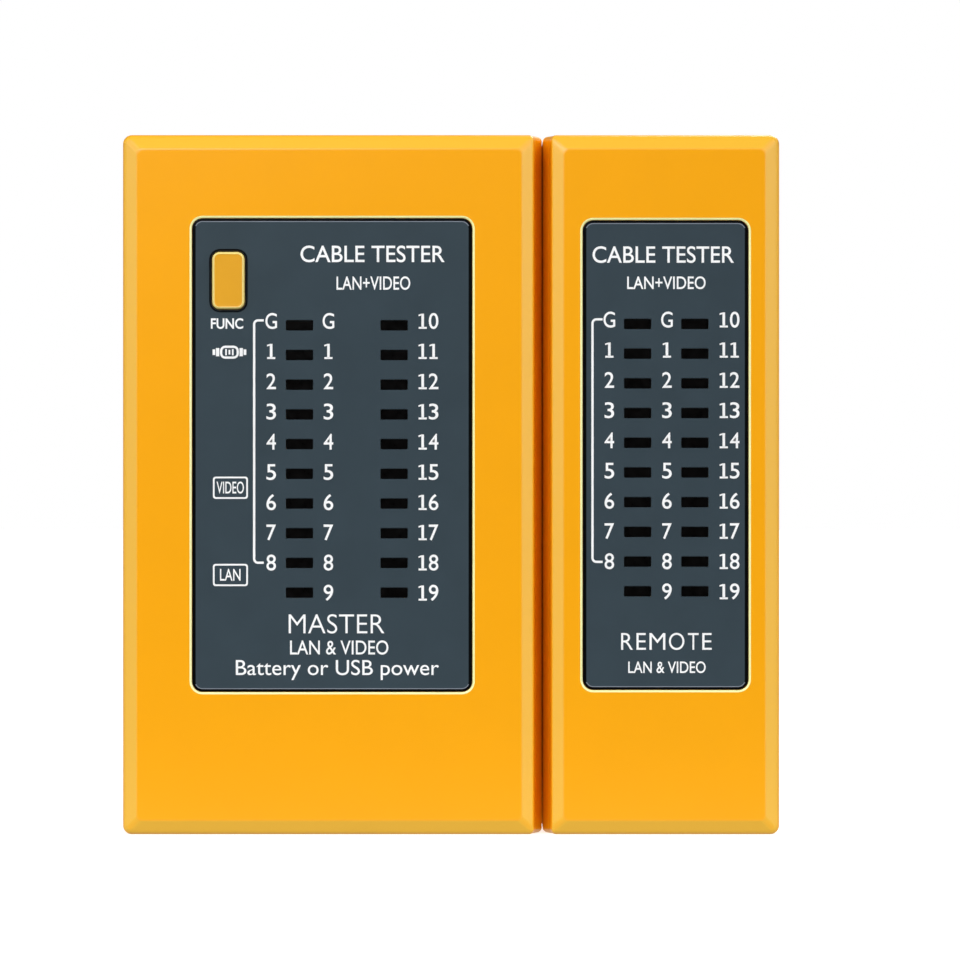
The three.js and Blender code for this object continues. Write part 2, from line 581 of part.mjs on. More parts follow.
const rail = () => dovetail(RAIL.y, 0, [MASTER_X[1] - 0.2, MASTER_X[1] + RAIL.reach]);

const groove = () =>
  dovetail([-1, RAIL.y[1] + RAIL_CLEARANCE], RAIL_CLEARANCE,
    [MASTER_X[1] - 0.2, MASTER_X[1] + RAIL.reach + RAIL_CLEARANCE]);

function grooveWall() {
  const inner = MASTER_X[1] + RAIL.reach + RAIL_CLEARANCE + GROOVE_WALL;
  const z = around(RAIL.z, 2 * (RAIL.head + RAIL_CLEARANCE + GROOVE_WALL));
  return block([REMOTE_X[0], inner], [0, RAIL.y[1] + GROOVE_WALL + 2], z).intersect(caseBody(REMOTE_X));
}

// ---------------------------------------------------------------- assembly

const tester = new THREE.Group();
const master = new THREE.Group();
const button = new THREE.Group();
const door = new THREE.Group();
const remote = new THREE.Group();
tester.add(master, remote);
master.add(button, door);

function place(group, name, shape, look) {
  const mesh = new THREE.Mesh(shape.isBufferGeometry ? shape : geometryOf(shape), look);
  mesh.name = name;
  group.add(mesh);
}

function placeScrews(group, prefix, places, seat, size, shankLength) {
  places.forEach((at, index) => {
    place(group, `${prefix}_${index + 1}`, screw(at, seat, size, shankLength), STEEL);
  });
}

function placeSockets(group, unit, lanX, videoX) {
  place(group, `${unit}_lan_shield`, lanShield(lanX), STEEL);
  place(group, `${unit}_lan_housing`, lanHousing(lanX), BLACK);
  place(group, `${unit}_lan_contacts`, lanContacts(lanX), GOLD);
  place(group, `${unit}_video_shell`, videoShell(videoX), STEEL);
  place(group, `${unit}_video_tongue`, videoTongue(videoX), BLACK);
}

function placeLampBars(group, unit, lamps) {
  ["left", "right"].forEach((side, index) => {
    place(group, `${unit}_lamp_bar_${side}`, lampBar(lamps.columns[index], lamps.top), SMOKED);
  });
}

const masterTopCuts = [lanCut(MASTER_LAN_X), videoCut(MASTER_VIDEO_X), usbCut(MASTER_USB_X)];
const remoteTopCuts = [lanCut(REMOTE_SOCKETS_X), videoCut(REMOTE_SOCKETS_X)];
const frontRib = block(BATTERY_RIB.x, BATTERY_RIB.y, [BOARD_BACK_Z, FACE_INNER_Z + INTO_WALL]);
const rearRib = block(BATTERY_RIB.x, BATTERY_RIB.y, [BACK_INNER_Z - 0.2, BOARD_BACK_Z - 0.1]);
const caseScrewSeat = BACK_Z + REAR_BOSS.floor;

place(master, "master_front_shell", frontShell(MASTER_X, MASTER_PANEL, MASTER_LAMPS, MASTER_CASE_SCREWS,
  MASTER_BOARD_SCREWS, [frontRib], [buttonHole(), ...masterTopCuts]), YELLOW);
place(master, "master_rear_shell", rearShell(MASTER_X, MASTER_CASE_SCREWS, [rail(), rearRib],
  [...doorOpening(), ...masterTopCuts]), YELLOW);
place(master, "master_panel", panelPlate(MASTER_PANEL, MASTER_LAMPS, buttonHole()), PANEL_GREY);
placeLampBars(master, "master", MASTER_LAMPS);
place(master, "master_board", board(MASTER_BOARD, MASTER_CASE_SCREWS, MASTER_BOARD_SCREWS), BOARD_GREEN);
place(master, "switch_body", switchBody(), BLACK);
place(master, "controller_chip", chip(MASTER_CHIP), BLACK);
place(master, "capacitor", capacitor(), BLACK);
placeSockets(master, "master", MASTER_LAN_X, MASTER_VIDEO_X);
place(master, "usb_shell", usbShell(MASTER_USB_X), STEEL);
place(master, "usb_tongue", usbTongue(MASTER_USB_X), BLACK);
place(master, "battery_case", batteryCase(), BATTERY_GREY);
place(master, "battery_stud_positive", batteryStud(-1, STUDS.positive, 20), STEEL);
place(master, "battery_stud_negative", batteryStud(1, STUDS.negative, 6), STEEL);
place(master, "snap_connector", snapConnector(), BLACK);
place(master, "lead_red", lead(-1), RED);
place(master, "lead_black", lead(1), BLACK);
placeScrews(master, "master_case_screw", MASTER_CASE_SCREWS, caseScrewSeat, CASE_SCREW, CASE_SHANK);
placeScrews(master, "master_board_screw", MASTER_BOARD_SCREWS, BOARD_BACK_Z, BOARD_SCREW, BOARD_SHANK);

place(button, "function_button", functionButton(), BUTTON_YELLOW);
place(button, "switch_plunger", switchPlunger(), BLACK);
place(door, "battery_door", batteryDoor(), YELLOW);

place(remote, "remote_front_shell", frontShell(REMOTE_X, REMOTE_PANEL, REMOTE_LAMPS, REMOTE_CASE_SCREWS,
  REMOTE_BOARD_SCREWS, [], remoteTopCuts), YELLOW);
place(remote, "remote_rear_shell", rearShell(REMOTE_X, REMOTE_CASE_SCREWS, [grooveWall()],
  [groove(), ...remoteTopCuts]), YELLOW);
place(remote, "remote_panel", panelPlate(REMOTE_PANEL, REMOTE_LAMPS), PANEL_GREY);
placeLampBars(remote, "remote", REMOTE_LAMPS);
place(remote, "remote_board", board(REMOTE_BOARD, REMOTE_CASE_SCREWS, REMOTE_BOARD_SCREWS), BOARD_GREEN);
place(remote, "driver_chip", chip(REMOTE_CHIP), BLACK);
placeSockets(remote, "remote", REMOTE_SOCKETS_X, REMOTE_SOCKETS_X);
placeScrews(remote, "remote_case_screw", REMOTE_CASE_SCREWS, caseScrewSeat, CASE_SCREW, CASE_SHANK);
placeScrews(remote, "remote_board_screw", REMOTE_BOARD_SCREWS, BOARD_BACK_Z, BOARD_SCREW, BOARD_SHANK);

// Stand the pair upright: y of the drawing frame becomes +Z and the front panels face -Y.
tester.rotation.x = Math.PI / 2;

export default tester;
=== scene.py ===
"""Looks of the network cable tester: fine cases, printed overlays, sockets and rear details."""

import math

import bmesh
import bpy
from mathutils import Matrix, Vector


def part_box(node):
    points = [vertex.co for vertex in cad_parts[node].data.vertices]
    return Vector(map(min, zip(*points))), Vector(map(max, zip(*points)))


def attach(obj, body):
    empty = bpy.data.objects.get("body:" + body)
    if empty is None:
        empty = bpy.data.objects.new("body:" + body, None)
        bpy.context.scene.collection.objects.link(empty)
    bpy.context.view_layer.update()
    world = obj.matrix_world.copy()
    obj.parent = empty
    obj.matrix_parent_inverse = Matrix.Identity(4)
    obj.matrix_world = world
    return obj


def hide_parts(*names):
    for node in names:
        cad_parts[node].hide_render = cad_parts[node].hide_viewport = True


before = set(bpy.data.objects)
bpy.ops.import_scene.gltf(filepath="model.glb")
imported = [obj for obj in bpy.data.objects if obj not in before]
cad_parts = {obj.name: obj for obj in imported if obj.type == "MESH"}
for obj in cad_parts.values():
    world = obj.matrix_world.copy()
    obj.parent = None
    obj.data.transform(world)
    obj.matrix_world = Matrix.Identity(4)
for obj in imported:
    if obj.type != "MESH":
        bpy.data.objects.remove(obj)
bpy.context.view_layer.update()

MM = 0.001
UNITS = ("master", "remote")

# -------------------- sizes, in millimetres

WALL = 2.0
# Edge profiles: inset, depth and rounding radius of each corner, from the flat face down the wall.
OUTER_EDGE = ((2.15, 0, 0.9), (0.0, 1.35, 1.3), (0.0, 9.0, 0))
SEAM_FILL = 0.13
SEAM_EDGE = ((2.95, 0, 0.9), (1.15, 0.95, 0.6), (0.8, 4.2, 1.2), (0.1, 6.4, 0.8), (-SEAM_FILL, 7.0, 0.3),
             (-SEAM_FILL, 9.0, 0))
BACK_EDGE_RADIUS = 1.2
OUTER_CORNER = 1.35
SOFT_CORNER = 0.9
SEAM_CORNER = 0.8
PARTING_ROUND = 0.25
SEAM_HALF = 0.06

PANEL_CORNER = 1.5
PANEL_CLEARANCE = 0.1
PANEL_RECESS = 0.6
SHADOW_BORDER_WIDTH = 0.36
HIGHLIGHT_LINE_WIDTH = 0.13
WINDOW = (4.03, 1.52)
LAMP_PITCH = 4.41
LAMP_ROWS = 10
LAMP_COLUMNS = {"master": (-22.5, -8.45), "remote": (27.7, 36.2)}
LAMP_TOP = {"master": 75.65, "remote": 75.85}

BUTTON_CORNER = 1.1
BUTTON_CLEARANCE = 0.15
BUTTON_RIM = 0.34
BUTTON_FLANGE = 0.8
STEM_RADIUS = 1.6

CASE_SCREWS = {
    "master": ((-43.8, 41), (-43.8, 80), (8.4, 41), (8.4, 80)),
    "remote": ((20.9, 14), (20.9, 82), (43.8, 14), (43.8, 82)),
}
SINK_RADIUS = 3.0
SINK_DEPTH = 5.2
SHANK_HOLE = 1.35
BOSS_RADIUS = 4.2

# -------------------- places taken from the frame


def span(node, axis):
    """The lowest and highest coordinate of a CAD node along an axis, in millimetres."""
    low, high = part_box(node)
    return low["xyz".index(axis)] / MM, high["xyz".index(axis)] / MM


def middle(pair):
    return (pair[0] + pair[1]) / 2


def around(centre, width):
    return centre - width / 2, centre + width / 2


def grown(pair, by):
    return pair[0] - by, pair[1] + by


CASE_X = {unit: span(f"{unit}_front_shell", "x") for unit in UNITS}
CASE_Z = span("master_front_shell", "z")
FACE_Y = span("master_front_shell", "y")[0]
BACK_Y = span("battery_door", "y")[1]
PARTING_Y = middle(span("master_board", "y"))
PANEL = {unit: (span(f"{unit}_panel", "x"), span(f"{unit}_panel", "z")) for unit in UNITS}
PANEL_Y = span("master_panel", "y")[0]
BUTTON_FACE_Y = span("function_button", "y")[0]

# -------------------- mesh tools

SMOOTH_ANGLE = 32  # degrees


def mesh_object(name, bm):
    """A new object from a bmesh in millimetres, smooth up to an angle."""
    bmesh.ops.recalc_face_normals(bm, faces=bm.faces[:])
    for face in bm.faces:
        face.smooth = True
    mesh = bpy.data.meshes.new(name)
    bm.to_mesh(mesh)
    bm.free()
    mesh.transform(Matrix.Scale(MM, 4))
    mesh.set_sharp_from_angle(angle=math.radians(SMOOTH_ANGLE))
    piece = bpy.data.objects.new(name, mesh)
    bpy.context.scene.collection.objects.link(piece)
    return piece


def ring(x, z, y, inset, corners, steps=8):
    """A rounded rectangle at depth y. The corners run upper right, upper left, lower left, lower right."""
    x0, x1 = x[0] + inset, x[1] - inset
    z0, z1 = z[0] + inset, z[1] - inset
    points = []
    for quarter, (right, upper) in enumerate(((True, True), (False, True), (False, False), (True, False))):
        radius = max(corners[quarter] - inset, min(inset, SOFT_CORNER), 0.1)
        cx = x1 - radius if right else x0 + radius
        cz = z1 - radius if upper else z0 + radius
        for step in range(steps + 1):
            angle = (quarter + step / steps) * math.pi / 2
            points.append((cx + radius * math.cos(angle), y, cz + radius * math.sin(angle)))
    return points


def add_stack(bm, rings, slots=None):
    """A closed skin through rings with equal counts of points. slots gives each band's material."""
    loops = [[bm.verts.new(point) for point in points] for points in rings]
    count = len(loops[0])
    for band, (one, two) in enumerate(zip(loops, loops[1:])):
        for k in range(count):
            n = (k + 1) % count
            face = bm.faces.new((one[k], one[n], two[n], two[k]))
            face.material_index = slots[band] if slots else 0
    bm.faces.new(loops[0])
    bm.faces.new(loops[-1][::-1])


def stack(name, rings, slots=None):
    bm = bmesh.new()
    add_stack(bm, rings, slots)
    return mesh_object(name, bm)


def arc(before, corner, after, radius, steps):
    """The points of the arc that rounds a corner between two others, in a plane."""
    before, corner, after = Vector(before), Vector(corner), Vector(after)
    u = (before - corner).normalized()
    v = (after - corner).normalized()
    half = u.angle(v) / 2
    centre = corner + (u + v).normalized() * radius / math.sin(half)
    start = corner + u * radius / math.tan(half) - centre
    end = corner + v * radius / math.tan(half) - centre
    turn = math.atan2(start.cross(end), start.dot(end))
    points = []
    for step in range(steps + 1):
        a = turn * step / steps
        c, s = math.cos(a), math.sin(a)
        points.append(centre + Vector((start.x * c - start.y * s, start.x * s + start.y * c)))
    return points


def soft_profile(corners):
    """(inset, depth) points from the flat face down the side wall, with every corner rounded."""
    path = [(corners[0][0] + 5, 0)] + [corner[:2] for corner in corners]
    points = []
    for before, corner, after, (_, _, radius) in zip(path, path[1:], path[2:], corners):
        points += arc(before, corner, after, radius, 5)
    return [tuple(point) for point in points] + [path[-1]]


def inset_at(profile, depth):
    """How far the wall lies inside the outline at a depth, read off a profile."""
    for (inset, near), (further_inset, far) in zip(profile, profile[1:]):
        if near <= depth <= far and far > near:
            return inset + (further_inset - inset) * (depth - near) / (far - near)
    return profile[-1][0] if depth > profile[-1][1] else profile[0][0]


def quarter_curve(radius, steps=6):
    """(inset, depth) points of a plain rounded edge, from the face to the side wall."""
    return [
        (radius * (1 - math.sin(a)), radius * (1 - math.cos(a)))
        for a in (math.pi / 2 * k / steps for k in range(steps + 1))
    ]


def block(name, x, y, z, bevel=0.0):
    bm = bmesh.new()
    add_block(bm, x, y, z, bevel)
    return mesh_object(name, bm)


def add_block(bm, x, y, z, bevel=0.0):
    """A box, with rounded edges where bevel isn't zero."""
    verts = bmesh.ops.create_cube(bm, size=1)["verts"]
    for v in verts:
        v.co = Vector((
            middle(x) + v.co.x * (x[1] - x[0]),
            middle(y) + v.co.y * (y[1] - y[0]),
            middle(z) + v.co.z * (z[1] - z[0]),
        ))
    if bevel:
        edges = list({edge for v in verts for edge in v.link_edges})
        bmesh.ops.bevel(bm, geom=edges, offset=bevel, segments=2, profile=0.5, affect="EDGES")


def lathe(bm, centre, profile, sides=40):
    """A solid turned about y. The profile lists (radius, height) from the axis back to the axis."""
    turn = Matrix.Rotation(-math.pi / 2, 3, "X")
    centre = Vector(centre)
    loops = []
    for radius, height in profile:
        count = 1 if radius < 1e-6 else sides
        angles = [2 * math.pi * k / sides for k in range(count)]
        points = [Vector((radius * math.cos(angle), radius * math.sin(angle), height)) for angle in angles]
        loops.append([bm.verts.new(centre + turn @ point) for point in points])
    for one, two in zip(loops, loops[1:]):
        for k in range(sides):
            n = (k + 1) % sides
            corners = [one[k % len(one)], one[n % len(one)], two[n % len(two)], two[k % len(two)]]
            bm.faces.new(list(dict.fromkeys(corners)))


def carve(piece, cutters, operation="DIFFERENCE"):
    """Cuts or joins whole solids and keeps the result as plain mesh. Material slots go by number."""
    for cutter in cutters:
        for look in piece.data.materials:
            cutter.data.materials.append(look)
        step = piece.modifiers.new("carve", "BOOLEAN")
        step.operation = operation
        step.solver = "EXACT"
        step.object = cutter
    graph = bpy.context.evaluated_depsgraph_get()
    result = bpy.data.meshes.new_from_object(piece.evaluated_get(graph))
    piece.modifiers.clear()
    old = piece.data
    piece.data = result
    result.name = old.name
    bpy.data.meshes.remove(old)
    for cutter in cutters:
        bpy.data.objects.remove(cutter)


def settle(piece, smooth_angle=SMOOTH_ANGLE):
    """Tidies a carved mesh: no doubled points, sharp edges by angle, flat faces kept flat."""
    bm = bmesh.new()
    bm.from_mesh(piece.data)
    bmesh.ops.remove_doubles(bm, verts=bm.verts[:], dist=1e-7)
    for face in bm.faces:
        face.smooth = True
    bm.to_mesh(piece.data)
    bm.free()
    piece.data.set_sharp_from_angle(angle=math.radians(smooth_angle))
    weigh = piece.modifiers.new("weighted_normals", "WEIGHTED_NORMAL")
    weigh.keep_sharp = True
    weigh.weight = 80


def wear(piece, *materials):
    for look in materials:
        piece.data.materials.append(look)
    return piece


def finish_piece(piece, body, replaces=()):
    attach(piece, body)
    if replaces:
        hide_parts(*replaces)


# -------------------- materials


def srgb(red, green, blue):
    """A colour given as it looks on a screen, 0 to 255, as the linear values that shaders take."""
    def linear(value):
        value /= 255
        return value / 12.92 if value <= 0.04045 else ((value + 0.055) / 1.055) ** 2.4
    return linear(red), linear(green), linear(blue), 1.0


def new_material(name, roughness=0.5, metallic=0.0, specular=0.5):
    look = bpy.data.materials.new(name)
    look.use_nodes = True
    shader = look.node_tree.nodes["Principled BSDF"]
    shader.inputs["Roughness"].default_value = roughness
    shader.inputs["Metallic"].default_value = metallic
    shader.inputs["Specular IOR Level"].default_value = specular
    shader.inputs["IOR"].default_value = 1.5
    return look, look.node_tree, shader


def noise(tree, scale, detail=4.0, roughness=0.5, stretch=(1, 1, 1)):
    """Noise in the object's own coordinates. scale is in features per metre."""
    coordinates = tree.nodes.new("ShaderNodeTexCoord")
    mapping = tree.nodes.new("ShaderNodeMapping")
    mapping.inputs["Scale"].default_value = stretch
    texture = tree.nodes.new("ShaderNodeTexNoise")
    texture.inputs["Scale"].default_value = scale
    texture.inputs["Detail"].default_value = detail
    texture.inputs["Roughness"].default_value = roughness
    tree.links.new(coordinates.outputs["Object"], mapping.inputs["Vector"])
    tree.links.new(mapping.outputs["Vector"], texture.inputs["Vector"])
    return texture.outputs["Fac"]


def ramp(tree, source, low, high):
    """Maps a 0 to 1 value onto two colours or two grey levels."""
    node = tree.nodes.new("ShaderNodeValToRGB")
    node.color_ramp.elements[0].position = 0.3
    node.color_ramp.elements[1].position = 0.7
    node.color_ramp.elements[0].color = low if isinstance(low, tuple) else (low, low, low, 1)
    node.color_ramp.elements[1].color = high if isinstance(high, tuple) else (high, high, high, 1)
    tree.links.new(source, node.inputs["Fac"])
    return node.outputs["Color"]


def bump(tree, shader, source, strength, distance, before=None):
    node = tree.nodes.new("ShaderNodeBump")
    node.inputs["Strength"].default_value = strength
    node.inputs["Distance"].default_value = distance
    tree.links.new(source, node.inputs["Height"])
    if before:
        tree.links.new(before, node.inputs["Normal"])
    tree.links.new(node.outputs["Normal"], shader.inputs["Normal"])
    return node.outputs["Normal"]


def moulded_plastic(name, colour, variation=0.04, roughness=(0.4, 0.52), grain=0.25, specular=0.5, edge=None):
    """Moulded plastic: slightly uneven colour, a fine spark-eroded grain and faint flow waves."""
    look, tree, shader = new_material(name, specular=specular)
    darker = tuple(c * (1 - variation) for c in colour[:3]) + (1,)
    lighter = tuple(min(1, c * (1 + variation)) for c in colour[:3]) + (1,)
    shade = ramp(tree, noise(tree, 90), darker, lighter)
    # Painted highlight: surfaces that slope away from the front get the paler edge colour.
    if edge:
        shade = edge_sheen(tree, shade, edge)
    tree.links.new(shade, shader.inputs["Base Color"])
    tree.links.new(ramp(tree, noise(tree, 2500, 2), *roughness), shader.inputs["Roughness"])
    waves = bump(tree, shader, noise(tree, 60, 2), 0.12, 0.0002)
    bump(tree, shader, noise(tree, 5200, 3, 0.6), grain, 0.00003, waves)
    return look


def feed(tree, socket, value):
    """Gives a socket the output of a node, or a plain number or colour."""
    if isinstance(value, bpy.types.NodeSocket):
        tree.links.new(value, socket)
    else:
        socket.default_value = value


def calculate(tree, operation, one, two):
    """A Math node on two values, each the output of a node or a number."""
    node = tree.nodes.new("ShaderNodeMath")
    node.operation = operation
    feed(tree, node.inputs[0], one)
    feed(tree, node.inputs[1], two)
    return node.outputs["Value"]


def mixed(tree, factor, one, two):
    """A colour between two, each the output of a node or a plain colour."""
    node = tree.nodes.new("ShaderNodeMix")
    node.data_type = "RGBA"
    for name, value in (("Factor", factor), ("A", one), ("B", two)):
        feed(tree, node.inputs[name], value)
    return node.outputs["Result"]


def axis_of(tree, kind, axis):
    """One axis of a kind of texture coordinate."""
    coordinates = tree.nodes.new("ShaderNodeTexCoord")
    parts = tree.nodes.new("ShaderNodeSeparateXYZ")
    tree.links.new(coordinates.outputs[kind], parts.inputs["Vector"])
    return parts.outputs[axis]


def edge_sheen(tree, shade, edge):
    """Painted highlight: a paler tone on surfaces that slope away from the front, as on the chamfers, in
    place of the light they catch.
    """
    mask = tree.nodes.new("ShaderNodeValToRGB")
    tree.links.new(calculate(tree, "MULTIPLY", axis_of(tree, "Normal", "Y"), -1), mask.inputs["Fac"])
    stops = mask.color_ramp.elements
    stops[0].position, stops[0].color = 0.3, (0, 0, 0, 1)
    stops[1].position, stops[1].color = 0.997, (0, 0, 0, 1)
    for position in (0.65, 0.9):
        stops.new(position).color = (1, 1, 1, 1)
    return mixed(tree, mask.outputs["Color"], shade, edge)


def printed_film(name, colour, roughness=(0.3, 0.4), specular=0.4):
    """Film under a clear satin lacquer, with a very fine orange peel. Its colour is print for the slate field
    and the white marks, and painted light for the overlay's border and highlight line.
    """
    look, tree, shader = new_material(name, specular=specular)
    darker = tuple(c * 0.95 for c in colour[:3]) + (1,)
    lighter = tuple(c * 1.05 for c in colour[:3]) + (1,)
    tree.links.new(ramp(tree, noise(tree, 160), darker, lighter), shader.inputs["Base Color"])
    tree.links.new(ramp(tree, noise(tree, 1500, 2), *roughness), shader.inputs["Roughness"])
    bump(tree, shader, noise(tree, 2600, 2), 0.12, 0.00002)
    return look


def plated_metal(name, colour, roughness=(0.18, 0.34), stretch=(1, 1, 12)):
    """Plated sheet metal with faint rolling marks."""
    look, tree, shader = new_material(name, metallic=1.0)
    darker = tuple(c * 0.86 for c in colour[:3]) + (1,)
    tree.links.new(ramp(tree, noise(tree, 500, 3, 0.5, stretch), darker, colour), shader.inputs["Base Color"])
    tree.links.new(ramp(tree, noise(tree, 900, 3, 0.5, stretch), *roughness), shader.inputs["Roughness"])
    bump(tree, shader, noise(tree, 1800, 3, 0.5, stretch), 0.1, 0.00002)
    return look


def smoked_lens(name):
    """Dark, clear-coated plastic over an unlit lamp."""
    look, tree, shader = new_material(name, specular=0.12)
    tree.links.new(ramp(tree, noise(tree, 700), srgb(1, 1, 1), srgb(4, 3, 3)), shader.inputs["Base Color"])
    tree.links.new(ramp(tree, noise(tree, 900), 0.25, 0.4), shader.inputs["Roughness"])
    return look


def solder_mask(name):
    """Green mask over copper: faint traces show as a woven pattern of slightly paler lines."""
    look, tree, shader = new_material(name, specular=0.5)
    coordinates = tree.nodes.new("ShaderNodeTexCoord")
    bricks = tree.nodes.new("ShaderNodeTexBrick")
    bricks.inputs["Scale"].default_value = 240
    bricks.inputs["Mortar Size"].default_value = 0.03
    bricks.inputs["Color1"].default_value = srgb(22, 84, 46)
    bricks.inputs["Color2"].default_value = srgb(26, 92, 50)
    bricks.inputs["Mortar"].default_value = srgb(46, 120, 70)
    turn = tree.nodes.new("ShaderNodeMapping")
    turn.inputs["Rotation"].default_value = (math.pi / 2, 0, 0)
    tree.links.new(coordinates.outputs["Object"], turn.inputs["Vector"])
    tree.links.new(turn.outputs["Vector"], bricks.inputs["Vector"])
    tree.links.new(bricks.outputs["Color"], shader.inputs["Base Color"])
    tree.links.new(ramp(tree, noise(tree, 800), 0.25, 0.4), shader.inputs["Roughness"])
    return look


BAND_START = 0.74  # as a share of the battery's length


def battery_wrap(name):
    """A printed battery jacket: charcoal, with a warm band round the terminal end."""
    look, tree, shader = new_material(name, metallic=0.6)
    start, end = span("battery_case", "x")
    band_start = (start + BAND_START * (end - start)) * MM
    band = calculate(tree, "GREATER_THAN", axis_of(tree, "Object", "X"), band_start)
    tree.links.new(mixed(tree, band, srgb(52, 54, 58), srgb(196, 122, 60)), shader.inputs["Base Color"])
    tree.links.new(ramp(tree, noise(tree, 400), 0.28, 0.4), shader.inputs["Roughness"])
    return look


# The shell's last colour is a painted highlight on its chamfers.
SHELL = moulded_plastic("shell_amber", srgb(252, 171, 2), 0.012, (0.28, 0.33), 0.25, 0.55, srgb(247, 188, 47))
# Painted highlight: pale cream on the bevel round the panel recesses.
SHELL_HIGHLIGHT_RIM = moulded_plastic("shell_painted_highlight", srgb(255, 252, 176), roughness=(0.25, 0.3), grain=0.05)
DOOR = moulded_plastic("door_amber", srgb(250, 169, 3), variation=0.012, roughness=(0.3, 0.36), specular=0.6)
BUTTON = moulded_plastic("button_amber", srgb(230, 166, 36), roughness=(0.3, 0.4), grain=0.1, specular=0.4)
# Painted highlight: pale cream on the button's bevelled rim.
BUTTON_HIGHLIGHT_RIM = moulded_plastic("button_painted_highlight", srgb(255, 232, 140), roughness=(0.25, 0.35), grain=0.05)
PANEL_GREY = printed_film("panel_slate", srgb(56, 69, 77), specular=0.2)
# Painted shadow: black on the overlay's edge and border, and round the button's hole, where the gaps show
# dark.
PANEL_SHADOW_BLACK = printed_film("panel_painted_shadow", srgb(3, 3, 3), specular=0.1)
# Painted highlight: a pale line inside the border, along the top and bottom.
PANEL_HIGHLIGHT_LINE = printed_film("panel_painted_highlight", srgb(126, 134, 146))
PRINT = printed_film("print_white", srgb(248, 249, 250), roughness=(0.45, 0.55))
BLACK = moulded_plastic("black_plastic", srgb(26, 26, 27), variation=0.08, grain=0.15)
CHIP = moulded_plastic("chip_plastic", srgb(34, 34, 36), variation=0.1, roughness=(0.5, 0.65))
LENS = smoked_lens("smoked_lens")
NICKEL = plated_metal("nickel_plate", srgb(205, 205, 203))
ZINC = plated_metal("zinc_plate", srgb(178, 180, 182), (0.25, 0.42), (1, 1, 1))
GOLD = plated_metal("gold_plate", srgb(226, 178, 84), (0.15, 0.3), (1, 1, 1))
MASK = solder_mask("solder_mask")
WRAP = battery_wrap("battery_wrap")
RED_WIRE = moulded_plastic("red_insulation", srgb(176, 30, 26), roughness=(0.35, 0.45), grain=0.05)
BLACK_WIRE = moulded_plastic("black_insulation", srgb(22, 22, 22), roughness=(0.35, 0.45), grain=0.05)

# -------------------- cases


def case_corners(unit):
    """The corners next to the other unit are tighter than the outer ones."""
    if unit == "master":
        return SEAM_CORNER, OUTER_CORNER, OUTER_CORNER, SEAM_CORNER
    return OUTER_CORNER, SEAM_CORNER, SEAM_CORNER, OUTER_CORNER


def parting_curve(side):
    """The small rounding where the shells meet. side is -1 for the front shell, 1 for the rear one."""
    base = PARTING_Y + side * SEAM_HALF
    return [(inset, base + side * depth) for inset, depth in quarter_curve(PARTING_ROUND, 3)]


def case_ring(unit, y, inset, seam_inset):
    """An outline of a case whose side next to the other unit is set in by its own amount."""
    low, high = CASE_X[unit]
    shift = seam_inset - inset
    x = (low, high - shift) if unit == "master" else (low + shift, high)
    return ring(x, CASE_Z, y, inset, case_corners(unit))


def front_skin(unit):
    outer, seam = soft_profile(OUTER_EDGE), soft_profile(SEAM_EDGE)
    rings = []
    last = -1
    for depth in sorted(point[1] for point in outer + seam):
        if depth - last > 0.02:
            rings.append(case_ring(unit, FACE_Y + depth, inset_at(outer, depth), inset_at(seam, depth)))
            last = depth
    rings += [case_ring(unit, y, inset, inset - SEAM_FILL) for inset, y in parting_curve(-1)[::-1]]
    return stack(f"{unit}_front_case", rings)


def rear_skin(unit):
    corners = case_corners(unit)
    low, high = CASE_X[unit]
    x = (low, high + SEAM_FILL) if unit == "master" else (low - SEAM_FILL, high)
    levels = parting_curve(1)
    levels += [(inset, BACK_Y - depth) for inset, depth in quarter_curve(BACK_EDGE_RADIUS)[::-1]]
    rings = [ring(x, CASE_Z, y, inset, corners) for inset, y in levels]
    return stack(f"{unit}_rear_case", rings)


def cavity(unit, y):
    levels = [(y[0], 0.6), (y[0] + 0.6, 0), (y[1] - 0.6, 0), (y[1], 0.6)]
    rings = [ring(grown(CASE_X[unit], -WALL), grown(CASE_Z, -WALL), depth, inset, (1.0,) * 4, 4)
             for depth, inset in levels]
    return stack("cavity", rings)


def pocket(x, z, face, floor, corner, flare=0.15, steps=6, rim=0, steep=1.0):
    """A cutter for a hole or recess whose mouth has a small bevel. face is the surface's depth."""
    into = 1 if floor > face else -1
    levels = [(face - into * 2, -flare), (face, -flare), (face + into * flare * 0.45 * steep, -flare * 0.35),
              (face + into * flare * steep, 0), (floor, 0)]
    rings = [ring(x, z, depth, inset, (corner,) * 4, steps) for depth, inset in levels]
    return stack("pocket", rings, [0, rim, rim, 0])


def windows(unit, face, floor, flare):
    """Cutters for every lamp window of a unit, as one object."""
    bm = bmesh.new()
    for column in LAMP_COLUMNS[unit]:
        for row in range(LAMP_ROWS):
            x = around(column, WINDOW[0])
            z = around(LAMP_TOP[unit] - row * LAMP_PITCH, WINDOW[1])
            levels = [(face - 1, -flare), (face, -flare), (face + flare, 0), (floor, 0)]
            add_stack(bm, [ring(x, z, depth, inset, (0.15,) * 4, 2) for depth, inset in levels])
    return mesh_object("windows", bm)


def socket_cuts(unit):
    """Openings in the top end, one cutter for each socket, with a small bevel round the mouth."""
    nodes = [f"{unit}_lan_shield", f"{unit}_video_shell"] + (["usb_shell"] if unit == "master" else [])
    return [socket_cut(node) for node in nodes]


